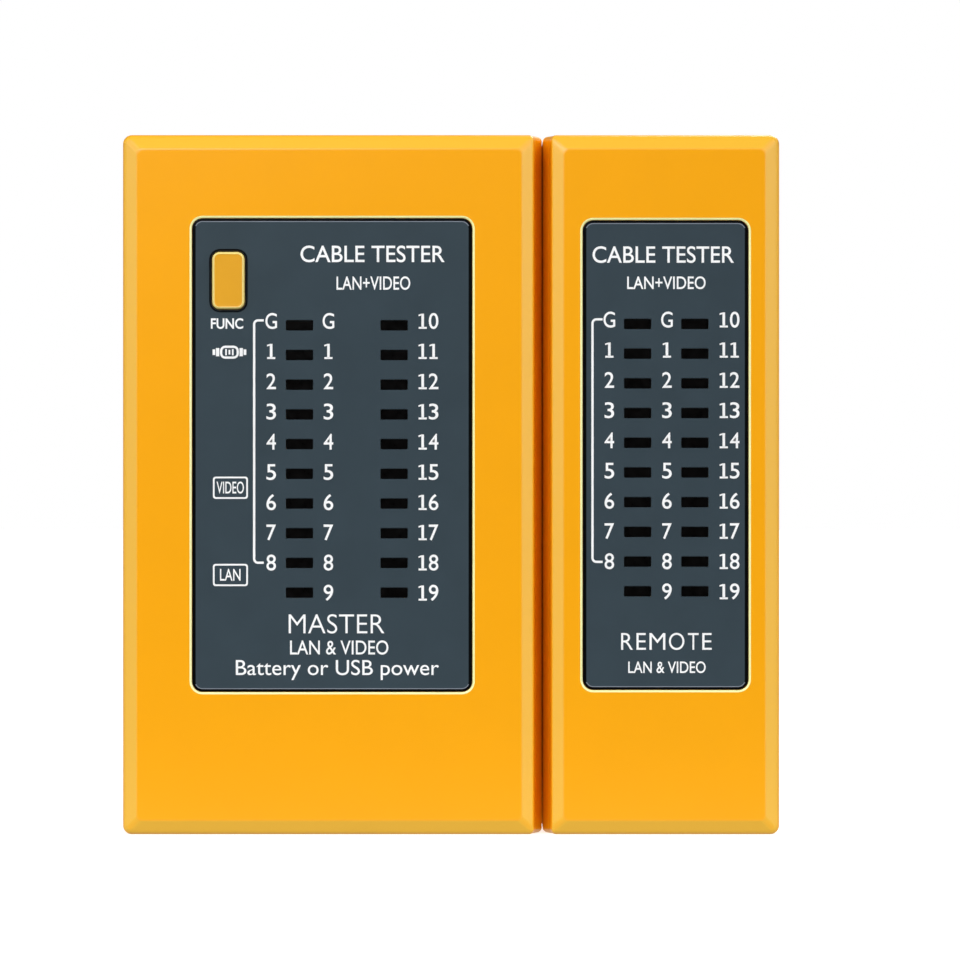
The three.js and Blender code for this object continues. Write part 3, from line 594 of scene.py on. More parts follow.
def socket_cut(node):
    clear, flare, top = 0.15, 0.3, CASE_Z[1]
    x = grown(span(node, "x"), clear)
    low, high = span(node, "y")
    behind_board = low > PARTING_Y
    y = (PARTING_Y - 0.3, high + clear) if behind_board else (low - clear, PARTING_Y + 0.3)
    levels = ((top - WALL - 2, 0), (top - flare, 0), (top, flare), (top + 1, flare))
    rings = [[(x[0] - out, y[0] - out, z), (x[1] + out, y[0] - out, z), (x[1] + out, y[1] + out, z),
              (x[0] - out, y[1] + out, z)] for z, out in levels]
    return stack("socket_cut", rings)


def button_pocket(face, floor, flare):
    x, z = (grown(edges, BUTTON_CLEARANCE) for edges in span_of_button())
    return pocket(x, z, face, floor, BUTTON_CORNER + BUTTON_CLEARANCE, flare)


def span_of_button():
    """The button's outline as it shows on the panel, without the flange behind it."""
    return tuple(grown(span("function_button", axis), -BUTTON_FLANGE) for axis in "xz")


def front_case(unit):
    piece = wear(front_skin(unit), SHELL, SHELL_HIGHLIGHT_RIM)
    x, z = PANEL[unit]
    inner_face = FACE_Y + WALL
    cutters = [
        cavity(unit, (inner_face, PARTING_Y + 3)),
        # The recess's mouth bevel takes slot 1, the pale painted highlight.
        pocket(grown(x, PANEL_CLEARANCE), grown(z, PANEL_CLEARANCE), FACE_Y, FACE_Y + PANEL_RECESS,
               PANEL_CORNER + PANEL_CLEARANCE, 0.32, 8, 1, 0.45),
        windows(unit, FACE_Y + PANEL_RECESS, inner_face + 1, 0.05),
    ]
    if unit == "master":
        cutters.append(button_pocket(FACE_Y + PANEL_RECESS, inner_face + 1, 0.05))
    carve(piece, cutters)
    carve(piece, socket_cuts(unit))
    settle(piece)
    finish_piece(piece, unit, [f"{unit}_front_shell"])


def screw_sinks(unit):
    """Cutters for the counterbored screw wells in the rear."""
    cuts = []
    for x, z in CASE_SCREWS[unit]:
        bm = bmesh.new()
        mouth = SINK_RADIUS + 0.3
        lathe(bm, (x, BACK_Y, z), [
            (0, 1), (mouth, 1), (mouth, 0), (SINK_RADIUS + 0.09, -0.09), (SINK_RADIUS, -0.3),
            (SINK_RADIUS, -SINK_DEPTH), (SHANK_HOLE, -SINK_DEPTH), (SHANK_HOLE, -14), (0, -14),
        ])
        cuts.append(mesh_object("sink", bm))
    return cuts


def screw_bosses(unit):
    """Posts round the screw wells, sized to stay inside the case walls."""
    joins = []
    for x, z in CASE_SCREWS[unit]:
        bm = bmesh.new()
        lathe(bm, (x, BACK_Y, z), [(0, -1), (BOSS_RADIUS, -1), (BOSS_RADIUS, -11.6), (0, -11.6)], 32)
        joins.append(mesh_object("boss", bm))
    return joins


def rear_case(unit):
    piece = wear(rear_skin(unit), SHELL)
    carve(piece, [cavity(unit, (PARTING_Y - 3, BACK_Y - WALL))])
    carve(piece, screw_bosses(unit), "UNION")
    if unit == "master":
        carve(piece, [rail(), battery_rib()], "UNION")
        cutters = door_cutters()
    else:
        carve(piece, [groove_wall()], "UNION")
        cutters = [dovetail("groove", (-1, RAIL_Z[1] + RAIL_CLEARANCE), RAIL_CLEARANCE, GROOVE_X)]
    carve(piece, screw_sinks(unit) + cutters)
    carve(piece, socket_cuts(unit))
    settle(piece)
    finish_piece(piece, unit, [f"{unit}_rear_shell"])


# -------------------- rail and groove

RAIL_REACH = 2.6
RAIL_CLEARANCE = 0.3
RAIL_Z = (8, 91.5)
RAIL_Y = 4.5
RAIL_NECK = 3.0
RAIL_HEAD = 4.5
GROOVE_WALL = 1.5
RAIL_X = (CASE_X["master"][1] - 0.2, CASE_X["master"][1] + RAIL_REACH)
GROOVE_X = (CASE_X["master"][1] - 0.2, RAIL_X[1] + RAIL_CLEARANCE)


def dovetail(name, z, grow, x):
    outline = [
        (x[0], RAIL_Y - RAIL_NECK - grow),
        (x[1], RAIL_Y - RAIL_HEAD - grow),
        (x[1], RAIL_Y + RAIL_HEAD + grow),
        (x[0], RAIL_Y + RAIL_NECK + grow),
    ]
    return stack(name, [[(a, b, height) for a, b in outline] for height in z])


def rail():
    return dovetail("rail", RAIL_Z, 0, RAIL_X)


def groove_wall():
    half = RAIL_HEAD + RAIL_CLEARANCE + GROOVE_WALL
    return block("groove_wall", (CASE_X["remote"][0] + 0.6, GROOVE_X[1] + GROOVE_WALL),
                 (RAIL_Y - half, RAIL_Y + half), (0.6, RAIL_Z[1] + GROOVE_WALL + 2))


# -------------------- battery door

DOOR_X = span("battery_door", "x")
DOOR_Z = (3.6, span("battery_door", "z")[1])
DOOR_THICKNESS = 1.2
DOOR_CLEARANCE = 0.2
DOOR_CORNER = 1.5
GRIP_RIDGES = 7
GRIP_PITCH = 1.5
GRIP_WIDTH = 17.0


def battery_rib():
    return block("rib", (CASE_X["master"][0] + 1.5, 5), (PARTING_Y + 1.5, BACK_Y - WALL + 0.3), (32.5, 33.7))


def door_cutters():
    """The seat of the door, the hole behind it and the thumb dish above it."""
    seat = pocket(grown(DOOR_X, DOOR_CLEARANCE), grown(DOOR_Z, DOOR_CLEARANCE), BACK_Y,
                  BACK_Y - DOOR_THICKNESS - 0.05, DOOR_CORNER + DOOR_CLEARANCE)
    hole = block("hole", grown(DOOR_X, -0.6), (BACK_Y - WALL - 0.5, BACK_Y + 1), grown(DOOR_Z, -0.6))
    return [seat, hole, thumb_dish()]


def thumb_dish():
    """A shallow round dish at the door's upper edge, with a soft lip."""
    bm = bmesh.new()
    profile = [(0, 1), (6.3, 1), (6.3, 0), (6.05, -0.1), (5.7, -0.45), (5.1, -0.7), (4.2, -0.8), (0, -0.8)]
    lathe(bm, (middle(DOOR_X), BACK_Y, DOOR_Z[1] + 0.5), profile, 64)
    return mesh_object("dish", bm)


def grip_grooves():
    """Cutters for the grooves of the door's finger grip, shorter from the top down."""
    cuts = []
    for ridge in range(GRIP_RIDGES):
        height = DOOR_Z[1] - 3.2 - ridge * GRIP_PITCH
        width = GRIP_WIDTH - 1.6 * ridge
        bm = bmesh.new()
        bmesh.ops.create_cone(bm, cap_ends=True, segments=20, radius1=0.42, radius2=0.42, depth=width)
        bmesh.ops.rotate(bm, verts=bm.verts[:], matrix=Matrix.Rotation(math.pi / 2, 3, "Y"))
        bmesh.ops.translate(bm, verts=bm.verts[:], vec=(middle(DOOR_X), BACK_Y + 0.08, height))
        cuts.append(mesh_object("groove", bm))
    return cuts


def arrow_cut():
    """A plain triangle pressed into the door, pointing at the thumb dish."""
    centre = middle(DOOR_X)
    top = DOOR_Z[1] - 16.0
    outline = [(centre - 2.6, top), (centre, top + 2.6), (centre + 2.6, top)]
    return stack("arrow", [[(x, y, z) for x, z in outline] for y in (BACK_Y - 0.25, BACK_Y + 1)])


def battery_door():
    levels = [(inset, BACK_Y - depth) for inset, depth in quarter_curve(0.3, 4)]
    levels += [(0, BACK_Y - DOOR_THICKNESS)]
    rings = [ring(DOOR_X, DOOR_Z, y, inset, (DOOR_CORNER,) * 4) for inset, y in levels]
    piece = wear(stack("battery_door_cover", rings), DOOR)
    joins = []
    hook_front = BACK_Y - 3
    for side in (-1, 1):
        x = around(middle(DOOR_X) + side * (DOOR_X[1] - DOOR_X[0]) * 0.34, 8)
        joins.append(block("root", x, (hook_front, BACK_Y - DOOR_THICKNESS + 0.3), (4.3, 5.0), 0.1))
        joins.append(block("hook", x, (hook_front, hook_front + 0.6), (3.4, 5.0), 0.1))
        pad_x = around(middle(span("battery_case", "x")) + side * 12, 2)
        pad_y = (span("battery_case", "y")[1] + 0.3, BACK_Y - DOOR_THICKNESS + 0.3)
        joins.append(block("pad", pad_x, pad_y, grown(span("battery_case", "z"), -4), 0.15))
    carve(piece, joins, "UNION")
    carve(piece, grip_grooves() + [arrow_cut()])
    settle(piece)
    finish_piece(piece, "battery_door", ["battery_door"])


# -------------------- overlays and button


def overlay(unit):
    """The overlay film: a black border that is painted shadow, a pale painted highlight line inside it, then
    the slate field.
    """
    x, z = PANEL[unit]
    back = PANEL_Y + 0.45
    edge = 0.08
    levels = [(0, back), (0, PANEL_Y + edge), (edge * 0.3, PANEL_Y + edge * 0.3), (edge, PANEL_Y),
              (SHADOW_BORDER_WIDTH, PANEL_Y), (SHADOW_BORDER_WIDTH + HIGHLIGHT_LINE_WIDTH, PANEL_Y)]
    # Slot 1 is the black painted shadow on the edge and border, slot 2 the pale painted highlight line.
    slots = [1, 1, 1, 1, 2]
    rings = [ring(x, z, y, inset, (PANEL_CORNER,) * 4) for inset, y in levels]
    piece = wear(stack(f"{unit}_overlay", rings, slots), PANEL_GREY, PANEL_SHADOW_BLACK, PANEL_HIGHLIGHT_LINE)
    blacken_sides(piece, z)
    cutters = [windows(unit, PANEL_Y, back + 1, 0.09)]
    if unit == "master":
        cutters.append(button_pocket(PANEL_Y, back + 1, 0.08))
    carve(piece, cutters)
    settle(piece, 25)
    finish_piece(piece, unit, [f"{unit}_panel"])


def blacken_sides(piece, z):
    """The pale painted highlight line stays along the top and bottom only; at the sides those faces take the
    black border's slot.
    """
    for face in piece.data.polygons:
        height = face.center.z / MM
        if face.material_index == 2 and z[0] + 1 < height < z[1] - 1:
            face.material_index = 1


def function_button():
    """The cap, with a bevelled rim painted pale as a highlight and a slightly dished top, on its flange and
    stem.
    """
    x, z = span_of_button()
    flange_front = FACE_Y + WALL + 0.05
    bm = bmesh.new()
    rim = BUTTON_RIM
    levels = [(0, flange_front + 0.2), (0, BUTTON_FACE_Y + 0.42), (0.05, BUTTON_FACE_Y + 0.3),
              (rim * 0.62, BUTTON_FACE_Y + 0.04), (rim * 0.85, BUTTON_FACE_Y), (rim, BUTTON_FACE_Y + 0.02),
              (rim + 0.25, BUTTON_FACE_Y + 0.08)]
    # Slot 1 paints the rim's bevel pale as a highlight.
    slots = [0, 1, 1, 1, 1, 0]
    add_stack(bm, [ring(x, z, y, inset, (BUTTON_CORNER,) * 4) for inset, y in levels], slots)
    add_stack(bm, [ring(grown(x, BUTTON_FLANGE), grown(z, BUTTON_FLANGE), y, 0, (1.4,) * 4)
                   for y in (flange_front + 0.8, flange_front)])
    stem_start = flange_front + 0.4
    stem = span("function_button", "y")[1] - stem_start
    stem_profile = [(0, 0), (STEM_RADIUS, 0), (STEM_RADIUS, stem), (0, stem)]
    lathe(bm, (middle(x), stem_start, middle(z)), stem_profile, 24)
    piece = wear(mesh_object("function_button_cap", bm), BUTTON, BUTTON_HIGHLIGHT_RIM)
    weigh = piece.modifiers.new("weighted_normals", "WEIGHTED_NORMAL")
    weigh.keep_sharp = True
    finish_piece(piece, "button", ["function_button"])


# -------------------- printing

INK_DEPTH = 0.025
INK_SUNK = 0.004


def add_flat_outline(bm, outline):
    """A thin raised slab of ink with the given (x, z) outline."""
    front = [bm.verts.new((x, PANEL_Y - INK_DEPTH, z)) for x, z in outline]
    back = [bm.verts.new((x, PANEL_Y - INK_SUNK, z)) for x, z in outline]
    bm.faces.new(front)
    bm.faces.new(back[::-1])
    for k in range(len(outline)):
        n = (k + 1) % len(outline)
        bm.faces.new((front[k], back[k], back[n], front[n]))


def add_bar(bm, x, z):
    add_flat_outline(bm, [(x[0], z[0]), (x[1], z[0]), (x[1], z[1]), (x[0], z[1])])


def add_one(bm, centre, bottom, height):
    """The figure 1 with a flag and a foot, which the built-in font draws as a plain bar."""
    stroke = height * 0.15
    half = height * 0.27
    top = bottom + height
    add_bar(bm, around(centre, 2 * half), (bottom, bottom + stroke * 0.85))
    add_bar(bm, around(centre, stroke * 1.15), (bottom + stroke * 0.7, top))
    left = centre - stroke * 0.5
    add_flat_outline(bm, [
        (left, top), (left - height * 0.2, top - height * 0.07),
        (left - height * 0.2, top - height * 0.17), (left, top - height * 0.12),
    ])


def add_text(bm, body, x, bottom, height, weight=0.0):
    """Text from the built-in font, stretched to fill x and as tall as its capitals or figures."""
    curve = bpy.data.curves.new("text", "FONT")
    curve.body = body
    curve.offset = weight
    curve.resolution_u = 6
    text = bpy.data.objects.new("text", curve)
    bpy.context.scene.collection.objects.link(text)
    bpy.context.view_layer.update()
    flat = bpy.data.meshes.new_from_object(text.evaluated_get(bpy.context.evaluated_depsgraph_get()))
    bpy.data.objects.remove(text)
    bpy.data.curves.remove(curve)
    across = [v.co.x for v in flat.vertices]
    cap = CAP_HEIGHT + 2 * weight
    wide = (x[1] - x[0]) / (max(across) - min(across))
    tall = height / cap
    glyphs = bmesh.new()
    glyphs.from_mesh(flat)
    bpy.data.meshes.remove(flat)
    for v in glyphs.verts:
        along = x[0] + (v.co.x - min(across)) * wide
        v.co = Vector((along, PANEL_Y - INK_SUNK, bottom + (v.co.y + weight) * tall))
    made = bmesh.ops.extrude_face_region(glyphs, geom=glyphs.faces[:])
    moved = [item for item in made["geom"] if isinstance(item, bmesh.types.BMVert)]
    bmesh.ops.translate(glyphs, verts=moved, vec=(0, INK_SUNK - INK_DEPTH, 0))
    copy = bpy.data.meshes.new("glyphs")
    glyphs.to_mesh(copy)
    glyphs.free()
    bm.from_mesh(copy)
    bpy.data.meshes.remove(copy)


CAP_HEIGHT = 0.66
FIGURE_HEIGHT = 2.25
FIGURE_WIDTH = 1.42
FIGURE_PITCH = 4.483


def add_figures(bm, body, centre, bottom):
    """A row's number or letter. Ones are drawn from bars given here, other figures come from the font."""
    height = FIGURE_HEIGHT
    if len(body) == 1:
        if body == "1":
            add_one(bm, centre, bottom, height)
        else:
            width = FIGURE_WIDTH * (1.22 if body == "G" else 1)
            add_text(bm, body, around(centre, width), bottom, height, 0.006)
        return
    step = 0.81
    for place, figure in ((centre - step, body[0]), (centre + step, body[1])):
        add_figures(bm, figure, place, bottom)


def add_bracket(bm, x, right, top, bottom):
    """The thin line that joins the rows G and 8, with rounded corners."""
    width = 0.34
    radius = 0.75
    across = x - width / 2 + radius

    def bend(quarter, height, reach):
        angles = [math.pi / 2 * (quarter + step / 6) for step in range(7)]
        return [(across + reach * math.cos(a), height + reach * math.sin(a)) for a in angles]

    upper, lower = top + width / 2 - radius, bottom - width / 2 + radius
    inner = radius - width
    outside = bend(1, upper, radius) + bend(2, lower, radius)
    inside = bend(2, lower, inner)[::-1] + bend(1, upper, inner)[::-1]
    upper_end, lower_end = around(top, width), around(bottom, width)
    add_flat_outline(bm, [(right, upper_end[1]), *outside, (right, lower_end[0]),
                          (right, lower_end[1]), *inside, (right, upper_end[0])])


def add_frame(bm, x, z, corner, width):
    """A rounded rectangular outline."""
    outer = [(a, c) for a, _, c in ring(x, z, 0, 0, (corner,) * 4, 4)]
    inner = [(a, c) for a, _, c in ring(x, z, 0, width, (corner,) * 4, 4)]
    count = len(outer)
    levels = (PANEL_Y - INK_DEPTH, PANEL_Y - INK_SUNK)
    loops = [[[bm.verts.new((a, y, c)) for a, c in line] for y in levels] for line in (outer, inner)]
    for k in range(count):
        n = (k + 1) % count
        (of, ob), (nf, nb) = loops
        bm.faces.new((of[k], of[n], nf[n], nf[k]))
        bm.faces.new((ob[k], ob[n], nb[n], nb[k]))
        bm.faces.new((of[k], of[n], ob[n], ob[k]))
        bm.faces.new((nf[k], nf[n], nb[n], nb[k]))


def add_link_icon(bm, x, z):
    """A pair of plugs meeting at a round coupling, under the button."""
    centre_x, centre_z = middle(x), middle(z)
    half_width, half_height = (x[1] - x[0]) / 2, (z[1] - z[0]) / 2
    add_frame(bm, around(centre_x, half_width * 1.12), z, half_height * 0.8, 0.34)
    add_bar(bm, around(centre_x, 0.26), around(centre_z, half_height * 0.72))
    for side in (-1, 1):
        add_bar(bm, around(centre_x + side * 0.5, 0.24), around(centre_z, half_height * 0.95))
        for near, far, tall in ((0.6, 0.8, 1.25), (0.84, 1.0, 0.85)):
            bar = sorted((centre_x + side * half_width * near, centre_x + side * half_width * far))
            add_bar(bm, bar, around(centre_z, half_height * tall))


# Each line: text, left and right edge, foot of the capitals, height of the capitals.
LINES = {
    "master": (
        ("CABLE TESTER", (-22.35, -0.95), 85.05, 2.35, 0.006),
        ("LAN+VIDEO", (-17.0, -6.05), 80.95, 1.9, 0.008),
        ("FUNC", (-35.65, -30.85), 75.15, 1.5, 0.02),
        ("VIDEO", (-34.8, -30.75), 50.7, 1.7, 0.008),
        ("LAN", (-34.3, -31.25), 37.75, 1.7, 0.008),
        ("MASTER", (-24.1, -9.9), 29.95, 2.7, -0.008),
        ("LAN & VIDEO", (-23.9, -9.3), 26.8, 2.0, 0.006),
        ("Battery or USB power", (-31.95, -1.8), 23.75, 2.15, 0.002),
    ),
    "remote": (
        ("CABLE TESTER", (21.0, 42.0), 84.95, 2.35, 0.006),
        ("LAN+VIDEO", (26.15, 37.8), 81.05, 1.8, 0.008),
        ("LAN & VIDEO", (26.3, 37.8), 24.05, 1.65, 0.008),
    ),
}
FIGURE_COLUMNS = {"master": (-26.7, -18.2, -3.4), "remote": (23.5, 32.05, 41.3)}
FIGURE_LIFT = 0.62
MODE_BOXES = ((-35.35, -30.15), ((49.9, 53.2), (36.95, 40.25)))
BRACKETS = {"master": (-29.23, -27.8, 76.4, 40.42), "remote": (21.0, 22.5, 76.55, 40.55)}
ICON = ((-35.4, -30.4), (70.7, 72.65))


def printing(unit):
    """Every white mark on one overlay, as one piece."""
    bm = bmesh.new()
    for body, x, bottom, height, weight in LINES[unit]:
        add_text(bm, body, x, bottom, height, weight)
    left, centre, right = FIGURE_COLUMNS[unit]
    for row in range(LAMP_ROWS):
        bottom = LAMP_TOP[unit] - row * FIGURE_PITCH + FIGURE_LIFT - FIGURE_HEIGHT / 2
        label = "G" if row == 0 else str(row)
        if row < 9:
            add_figures(bm, label, left, bottom)
        add_figures(bm, label, centre, bottom)
        add_figures(bm, str(10 + row), right, bottom)
    add_bracket(bm, *BRACKETS[unit])
    if unit == "master":
        for z in MODE_BOXES[1]:
            add_frame(bm, MODE_BOXES[0], z, 0.4, 0.25)
        add_link_icon(bm, *ICON)
        button_border()
    else:
        add_spaced_word(bm, "REMOTE", (25.25, 38.7), 27.5, 2.4)
    piece = wear(mesh_object(f"{unit}_printing", bm), PRINT)
    finish_piece(piece, unit)


def button_border():
    """A black painted shadow outline round the button's hole, where the gap shows dark."""
    x, z = span_of_button()
    bm = bmesh.new()
    width = 0.22
    outset = BUTTON_CLEARANCE + 0.08 + width
    add_frame(bm, grown(x, outset), grown(z, outset), BUTTON_CORNER + outset, width)
    finish_piece(wear(mesh_object("button_border", bm), PANEL_SHADOW_BLACK), "master")


def add_spaced_word(bm, word, x, bottom, height):
    """Capitals set wide apart, each in an equal share of the width."""
    widths = {"R": 1.75, "E": 1.4, "M": 2.35, "O": 2.3, "T": 1.6}
    gap = (x[1] - x[0] - sum(widths[letter] for letter in word)) / (len(word) - 1)
    at = x[0]
    for letter in word:
        add_text(bm, letter, (at, at + widths[letter]), bottom, height, -0.004)
        at += widths[letter] + gap


# -------------------- CAD pieces that stay


def dress(node, look, bevel=0.0):
    """Gives a CAD node its finish, and soft edges where asked."""
    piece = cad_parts[node]
    piece.data.materials.clear()
    piece.data.materials.append(look)
    if bevel:
        edges = piece.modifiers.new("soft_edges", "BEVEL")
        edges.width = bevel * MM
        edges.segments = 2
        edges.limit_method = "ANGLE"
        edges.angle_limit = math.radians(40)


# Each finish: its look, the width of its soft edges, and the CAD nodes that wear it.
FINISHES = (
    (LENS, 0.06, [f"{unit}_lamp_bar_{side}" for unit in UNITS for side in ("left", "right")]),
    (MASK, 0, [f"{unit}_board" for unit in UNITS]),
    (NICKEL, 0, [f"{unit}_{part}" for unit in UNITS for part in ("lan_shield", "video_shell")]),
    (NICKEL, 0, ["usb_shell"]),
    (BLACK, 0, [f"{unit}_{part}" for unit in UNITS for part in ("lan_housing", "video_tongue")]),
    (BLACK, 0, ["switch_plunger", "usb_tongue"]),
    (ZINC, 0, [f"{unit}_case_screw_{number}" for unit in UNITS for number in (1, 2, 3, 4)]),
    (ZINC, 0, [f"{unit}_board_screw_{number}" for unit in UNITS for number in (1, 2)]),
    (BLACK, 0.15, ["switch_body"]),
    (CHIP, 0.1, ["controller_chip", "driver_chip"]),
    (CHIP, 0.3, ["capacitor"]),
    (WRAP, 0, ["battery_case"]),
    (NICKEL, 0.2, ["battery_stud_positive", "battery_stud_negative"]),
    (BLACK, 0.3, ["snap_connector"]),
    (RED_WIRE, 0, ["lead_red"]),
    (BLACK_WIRE, 0, ["lead_black"]),
)


# -------------------- contacts and pads


def lan_contacts(unit):
    """Eight sprung wires that lean into the socket from the wall next to the board."""
    x_span, y_span, z_span = (span(f"{unit}_lan_contacts", axis) for axis in "xyz")
    pitch, width, thickness = 1.02, 0.5, 0.28
    wall, top = y_span[0], z_span[1]
    bend = ((0.1, 12.0), (0.1, 3.2), (0.25, 2.4), (0.65, 2.3), (1.0, 2.9), (3.0, 10.5))
    profile = [(wall + out, top - down) for out, down in bend]
    bm = bmesh.new()
    for index in range(8):
        x = around(middle(x_span) + (index - 3.5) * pitch, width)
        add_strip(bm, x, profile, thickness)
    piece = wear(mesh_object(f"{unit}_lan_wires", bm), GOLD)
    finish_piece(piece, unit, [f"{unit}_lan_contacts"])


def add_strip(bm, x, path, thickness):
    """A flat wire of even thickness along a path of (y, z) points."""
    sides = []
    for k, (y, z) in enumerate(path):
        before, after = path[max(k - 1, 0)], path[min(k + 1, len(path) - 1)]
        along = Vector((after[0] - before[0], after[1] - before[1])).normalized()
        out = Vector((-along.y, along.x)) * thickness / 2
        sides.append(((y + out.x, z + out.y), (y - out.x, z - out.y)))
    outline = [side[0] for side in sides] + [side[1] for side in sides[::-1]]
    loops = [[bm.verts.new((a, y, z)) for y, z in outline] for a in x]
    count, last = len(outline), len(path) - 1
    for k in range(count):
        n = (k + 1) % count
        bm.faces.new((loops[0][k], loops[0][n], loops[1][n], loops[1][k]))
    for loop in loops:
        for k in range(last):
            bm.faces.new((loop[k], loop[k + 1], loop[count - 2 - k], loop[count - 1 - k]))


def tongue_pads(node, body, counts, pitch, width):
    """Gold contact pads along both faces of a socket's tongue."""
    x_span, y_span, z_span = (span(node, axis) for axis in "xyz")
    bm = bmesh.new()
    for count, face, side in zip(counts, y_span, (-1, 1)):
        for index in range(count):
            x = around(middle(x_span) + (index - (count - 1) / 2) * pitch, width)
            y = sorted((face - side * 0.1, face + side * 0.06))
            add_block(bm, x, y, (z_span[1] - 4.6, z_span[1] - 0.5))
    piece = wear(mesh_object(f"{node}_pads", bm), GOLD)
    finish_piece(piece, body)


# -------------------- studio


def floor():
    """A white floor. Only the camera sees it white: the object gets a smaller, separate light from it."""
    size = 6.0
    bm = bmesh.new()
    bmesh.ops.create_grid(bm, x_segments=1, y_segments=1, size=size / MM)
    piece = mesh_object("floor", bm)
    look, tree, shader = new_material("floor_white", roughness=0.9, specular=0.0)
    shader.inputs["Base Color"].default_value = (0.7, 0.7, 0.7, 1)
    shader.inputs["Emission Color"].default_value = (1, 1, 1, 1)
    shader.inputs["Emission Strength"].default_value = 0.75
    fall = tree.nodes.new("ShaderNodeMapRange")
    limits = {"From Min": -0.12, "From Max": -0.02, "To Min": 0.04, "To Max": 0.58}
    for name, value in {"Value": axis_of(tree, "Object", "Y"), **limits}.items():
        feed(tree, fall.inputs[name], value)
    bounce = tree.nodes.new("ShaderNodeEmission")
    tree.links.new(fall.outputs["Result"], bounce.inputs["Strength"])
    rays = tree.nodes.new("ShaderNodeLightPath")
    choose = tree.nodes.new("ShaderNodeMixShader")
    tree.links.new(rays.outputs["Is Camera Ray"], choose.inputs["Fac"])
    tree.links.new(bounce.outputs["Emission"], choose.inputs[1])
    tree.links.new(shader.outputs["BSDF"], choose.inputs[2])
    tree.links.new(choose.outputs["Shader"], tree.nodes["Material Output"].inputs["Surface"])
    piece.data.materials.append(look)


def camera():
    """Straight on, through a long lens, so that the front faces fill the frame as pictured."""
    view_width = 142.5
    lens, sensor = 250.0, 36.0
    data = bpy.data.cameras.new("camera")
    data.lens = lens
    data.sensor_width = sensor
    data.clip_start = 0.05
    data.clip_end = 50
    eye = bpy.data.objects.new("camera", data)
    distance = view_width * lens / sensor
    eye.location = Vector((4.3, FACE_Y - distance, 52.7)) * MM
    eye.rotation_euler = (math.pi / 2, 0, 0)
    bpy.context.scene.collection.objects.link(eye)
    bpy.context.scene.camera = eye


# Brightness by the angle in degrees from the panels' direction, its gain towards the right, its loss
# by height, and the share of it that reflections get.
LIGHT_RINGS = ((0, 0.05), (25, 0.05), (36, 3.3), (68, 3.3), (86, 0.95), (110, 0.45), (180, 0.35))
LIGHT_RIGHT = 0.08
OVERHEAD_LOSS = 1.35
GLOSS_SHARE = 0.65


def lamp(name, place, target, size, power):
    """A soft square light aimed at a point, in millimetres and watts."""
    data = bpy.data.lights.new(name, "AREA")
    data.shape = "SQUARE"
    data.size = size * MM
    data.energy = power
    light = bpy.data.objects.new(name, data)
    light.location = Vector(place) * MM
    light.rotation_euler = (Vector(target) - Vector(place)).to_track_quat("-Z", "Y").to_euler()
    light.visible_camera = False
    bpy.context.scene.collection.objects.link(light)


def lamps():
    lamp("key_front", (-90, -250, 230), (0, 0, 80), 130, 0.25)
    lamp("key_back", (170, 300, 400), (0, 10, 60), 240, 1.4)


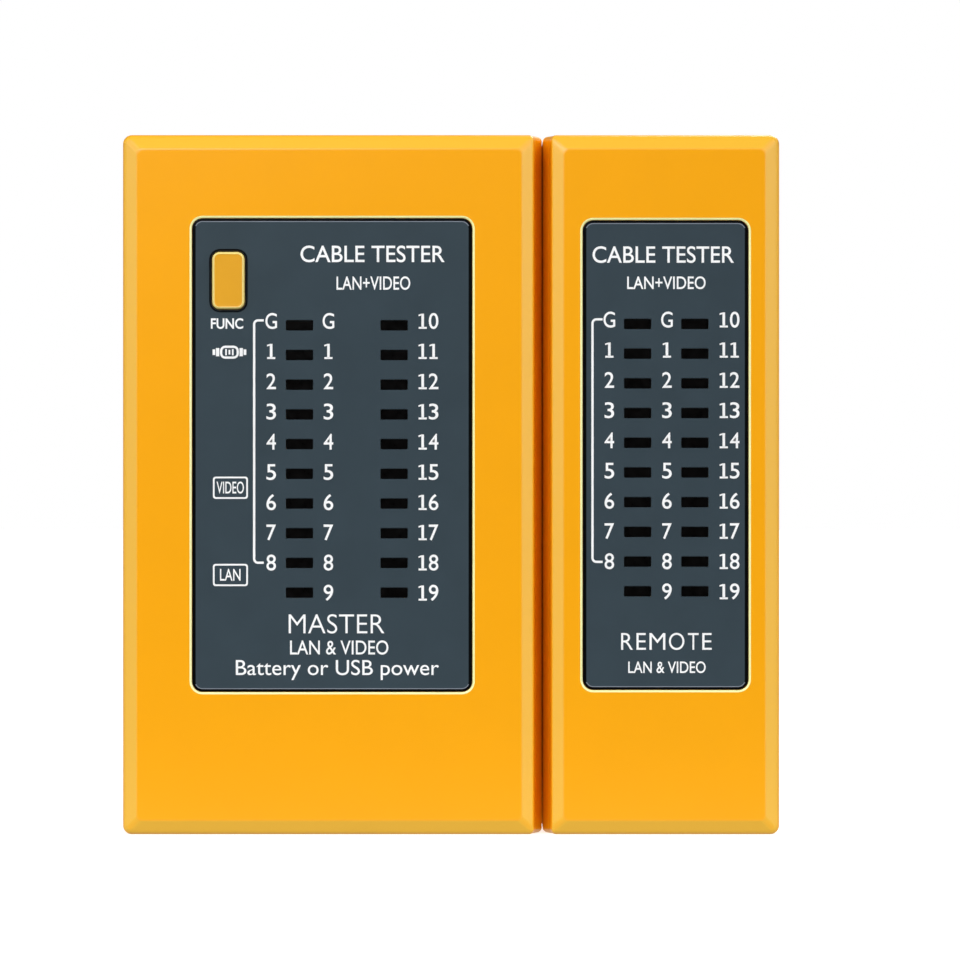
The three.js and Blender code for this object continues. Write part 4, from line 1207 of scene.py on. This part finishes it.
def studio_world():
    """Soft light from all round, dark in front of the panels and brightest in a ring about that direction.

    The camera sees plain white in its place, and reflections get only a share of it.
    """
    world = bpy.data.worlds.new("studio")
    world.use_nodes = True
    bpy.context.scene.world = world
    tree = world.node_tree
    tree.nodes.clear()
    rays = tree.nodes.new("ShaderNodeLightPath")
    softened = calculate(tree, "MULTIPLY", rays.outputs["Is Glossy Ray"], GLOSS_SHARE - 1)
    share = calculate(tree, "ADD", softened, 1)
    light = calculate(tree, "MULTIPLY", light_by_angle(tree), light_by_side(tree))
    strength = calculate(tree, "MULTIPLY", light, share)
    lighting = tree.nodes.new("ShaderNodeBackground")
    tree.links.new(strength, lighting.inputs["Strength"])
    backdrop = tree.nodes.new("ShaderNodeBackground")
    choose = tree.nodes.new("ShaderNodeMixShader")
    for shader in (lighting, backdrop):
        shader.inputs["Color"].default_value = (1, 1, 1, 1)
    tree.links.new(rays.outputs["Is Camera Ray"], choose.inputs["Fac"])
    tree.links.new(lighting.outputs["Background"], choose.inputs[1])
    tree.links.new(backdrop.outputs["Background"], choose.inputs[2])
    output = tree.nodes.new("ShaderNodeOutputWorld")
    tree.links.new(choose.outputs["Shader"], output.inputs["Surface"])


def light_by_angle(tree):
    """Brightness by the angle away from the side that the panels face."""
    spread = tree.nodes.new("ShaderNodeMapRange")
    spread.inputs["From Min"].default_value = -1
    spread.inputs["From Max"].default_value = 1
    tree.links.new(axis_of(tree, "Generated", "Y"), spread.inputs["Value"])
    levels = tree.nodes.new("ShaderNodeValToRGB")
    stops = levels.color_ramp.elements
    brightest = max(level for _, level in LIGHT_RINGS)
    while len(stops) < len(LIGHT_RINGS):
        stops.new(0.5)
    for stop, (angle, level) in zip(stops, LIGHT_RINGS):
        stop.position = (1 - math.cos(math.radians(angle))) / 2
        stop.color = (level / brightest,) * 3 + (1,)
    tree.links.new(spread.outputs["Result"], levels.inputs["Fac"])
    return calculate(tree, "MULTIPLY", levels.outputs["Color"], brightest)


def light_by_side(tree):
    """A factor that is one at eye level, a little more to the right, and small overhead and below."""
    height = axis_of(tree, "Generated", "Z")
    dimming = calculate(tree, "MULTIPLY", calculate(tree, "MULTIPLY", height, height), -OVERHEAD_LOSS)
    gain = calculate(tree, "MULTIPLY", axis_of(tree, "Generated", "X"), LIGHT_RIGHT)
    total = calculate(tree, "ADD", calculate(tree, "ADD", dimming, gain), 1)
    return calculate(tree, "MAXIMUM", total, 0.1)


# -------------------- making it all

camera()
studio_world()
lamps()
floor()
bpy.context.scene.view_settings.view_transform = "Standard"

for unit in UNITS:
    front_case(unit)
    rear_case(unit)
    overlay(unit)
    printing(unit)
    lan_contacts(unit)
    tongue_pads(f"{unit}_video_tongue", unit, (10, 9), 1.0, 0.5)
tongue_pads("usb_tongue", "master", (6, 6), 0.8, 0.35)
battery_door()
function_button()
for look, bevel, nodes in FINISHES:
    for node in nodes:
        dress(node, look, bevel)
